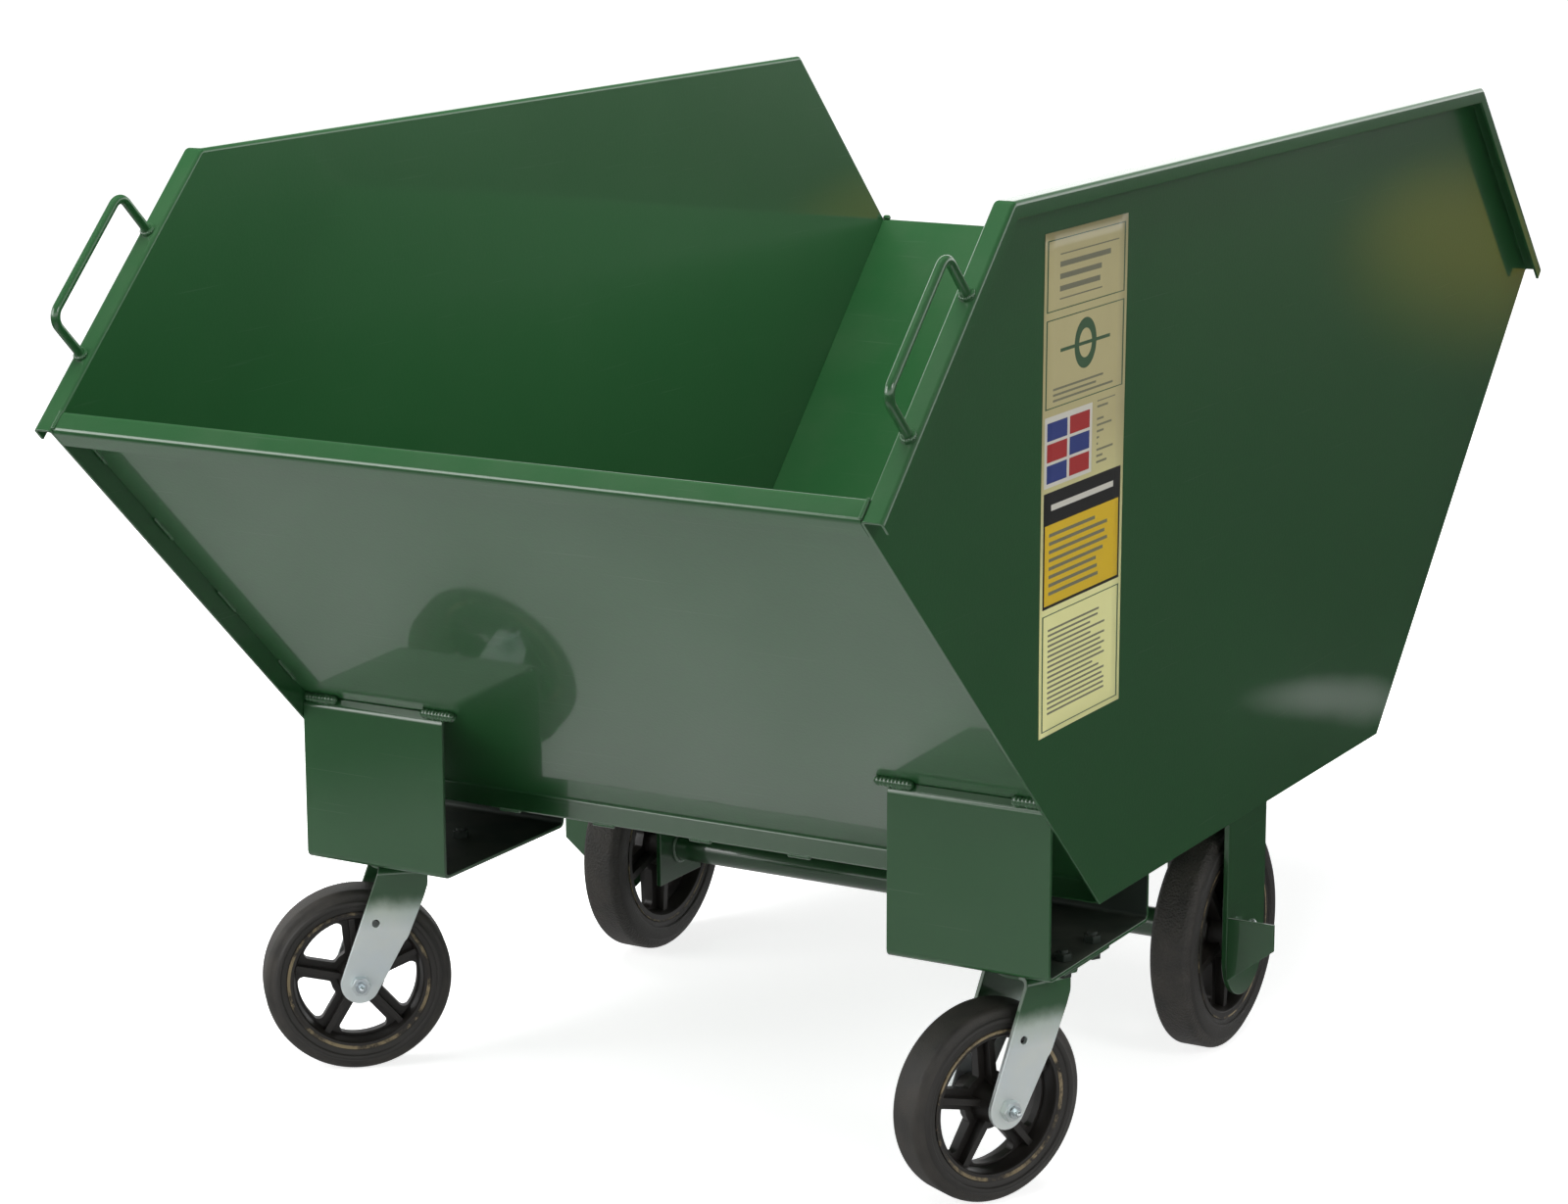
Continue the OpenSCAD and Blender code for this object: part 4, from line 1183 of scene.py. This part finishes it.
# ---------------------------------------------------------------- label
# A printed vinyl strip on the right panel: buff ground, thin green borders, plain ruled blocks,
# a ring mark, a block of colour chips and a yellow panel under a black bar. It bears no words.
label_low, label_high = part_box("label")
buff = (0.56, 0.50, 0.26, 1)
straw = (0.93, 0.915, 0.424, 1)
INK = {"green": (0.045, 0.11, 0.05, 1), "black": (0.012, 0.012, 0.012, 1),
       "yellow": (0.80, 0.53, 0.02, 1), "red": (0.42, 0.03, 0.03, 1), "blue": (0.03, 0.05, 0.22, 1),
       "white": (0.72, 0.70, 0.62, 1), "grey": (0.20, 0.20, 0.13, 1)}


def make_block_group():
    """1 inside a rectangle of the label's own map and 0 outside it."""
    group, add, start, end = shader_group(
        "printed_block",
        [("Map", VECTOR, None), ("Left", FLOAT, 0.0), ("Right", FLOAT, 1.0), ("Bottom", FLOAT, 0.0),
         ("Top", FLOAT, 1.0)],
        [("Mask", FLOAT)],
    )
    parts = add("ShaderNodeSeparateXYZ", {0: start.outputs["Map"]})
    tests = []
    for value, low, high in (("X", "Left", "Right"), ("Y", "Bottom", "Top")):
        above = calc(add, "GREATER_THAN", parts.outputs[value], start.outputs[low])
        below = calc(add, "LESS_THAN", parts.outputs[value], start.outputs[high])
        tests.append(calc(add, "MULTIPLY", above, below))
    group.links.new(calc(add, "MULTIPLY", *tests), end.inputs["Mask"])
    return group


block_group = make_block_group()


def printed_label():
    material = bpy.data.materials.new("printed_vinyl")
    add = nodes_of(material)
    where = add("ShaderNodeUVMap", {}, uv_map="print").outputs["UV"]
    parts = add("ShaderNodeSeparateXYZ", {"Vector": where})
    across, up = parts.outputs["X"], parts.outputs["Y"]

    def block(left, right, bottom, top):
        edges = {"Map": where, "Left": left, "Right": right, "Bottom": bottom, "Top": top}
        return grouped(add, block_group, edges).outputs["Mask"]

    def rules(count, share, seed):
        """Horizontal rules of uneven length: count to the label's height."""
        row = calc(add, "MULTIPLY", up, float(count))
        line = calc(add, "LESS_THAN", calc(add, "FRACT", row), share)
        number = calc(add, "ADD", calc(add, "FLOOR", row), seed)
        uneven = add("ShaderNodeTexWhiteNoise", {"W": number}, noise_dimensions="1D").outputs["Value"]
        end = ramp(add, uneven, 0.0, 1.0, 0.62, 0.92)
        return calc(add, "MULTIPLY", line, calc(add, "LESS_THAN", across, end))

    shade = noise_at(add, where, 3.0, 4.0)
    dark, pale = (tuple(c * tone for c in buff[:3]) + (1,) for tone in (0.93, 1.06))
    # Painted light: the buff ground is made paler and yellower towards the bottom, up to straw, standing in
    # for the brighter light there.
    ground = mix_colour(add, ramp(add, up, 0.60, 0.24), mix_colour(add, shade, dark, pale), straw)
    ink = ground

    def printed(ink, mask, colour):
        return mix_colour(add, mask, ink, INK[colour])

    def ruled(ink, count, share, seed, *area):
        """Grey rules in place of a block of print."""
        return printed(ink, calc(add, "MULTIPLY", rules(count, share, seed), block(*area)), "grey")

    def framed(ink, bottom, top):
        """A thin border: a green block with the ground printed over its middle."""
        ink = printed(ink, block(0.03, 0.97, bottom, top), "green")
        inside = block(0.045, 0.955, bottom + 0.0022, top - 0.0022)
        return mix_colour(add, inside, ink, ground)

    for bottom, top in ((0.845, 0.985), (0.655, 0.830), (0.010, 0.245)):
        ink = framed(ink, bottom, top)
    ink = ruled(ink, 42, 0.45, 3.0, 0.18, 1, 0.865, 0.955)
    ink = ruled(ink, 90, 0.40, 5.0, 0.12, 1, 0.665, 0.700)
    ink = ruled(ink, 80, 0.35, 7.0, 0.66, 1, 0.505, 0.640)
    ink = ruled(ink, 95, 0.40, 2.0, 0.10, 0.80, 0.040, 0.215)
    centre = add("ShaderNodeVectorMath", {0: where, 1: (0.5, 0.765, 0)}, operation="SUBTRACT").outputs[0]
    even = add("ShaderNodeVectorMath", {0: centre, 1: (1.0, 2.64, 1.0)}, operation="MULTIPLY").outputs[0]
    radius = add("ShaderNodeVectorMath", {0: even}, operation="LENGTH").outputs["Value"]
    ring = calc(add, "COMPARE", radius, 0.105, 0.028)
    ink = printed(ink, ring, "green")
    ink = printed(ink, block(0.20, 0.80, 0.7615, 0.7685), "green")
    ink = printed(ink, block(0.03, 0.60, 0.500, 0.640), "white")
    for i, (left, bottom, colour) in enumerate((
            (0.06, 0.592, "blue"), (0.33, 0.592, "red"), (0.06, 0.550, "red"),
            (0.33, 0.550, "blue"), (0.06, 0.508, "blue"), (0.33, 0.508, "red"))):
        ink = printed(ink, block(left, left + 0.24, bottom, bottom + 0.036), colour)
    ink = printed(ink, block(0.03, 0.97, 0.258, 0.490), "black")
    ink = printed(ink, block(0.05, 0.95, 0.264, 0.425), "yellow")
    ink = ruled(ink, 60, 0.42, 9.0, 0.10, 0.90, 0.275, 0.410)
    ink = printed(ink, block(0.12, 0.88, 0.452, 0.464), "white")
    end_in(add, {"Base Color": ink, "Roughness": 0.42, "Coat Weight": 0.15})
    return material


label_vinyl = printed_label()


def label_strip():
    bm = bmesh.new()
    made = bmesh.ops.create_grid(bm, x_segments=8, y_segments=28, size=0.5, calc_uvs=False)["verts"]
    layer = bm.loops.layers.uv.new("print")
    for face in bm.faces:
        for loop in face.loops:
            loop[layer].uv = (loop.vert.co.x + 0.5, loop.vert.co.y + 0.5)
    width, height = label_high.y - label_low.y, label_high.z - label_low.z
    for v in made:
        y = label_low.y + (v.co.x + 0.5) * width
        z = label_low.z + (v.co.y + 0.5) * height
        v.co = (panel_x + panel_wave(y, z) + 0.0002, y, z)
    bmesh.ops.recalc_face_normals(bm, faces=bm.faces)
    if next(iter(bm.faces)).normal.x < 0:
        bmesh.ops.reverse_faces(bm, faces=bm.faces)
    strip = place_piece(bm, "label_strip", "cart", "label", [label_vinyl], ["label"])
    film = strip.modifiers.new("film", "SOLIDIFY")
    film.thickness = 0.0002
    film.offset = 1


label_strip()
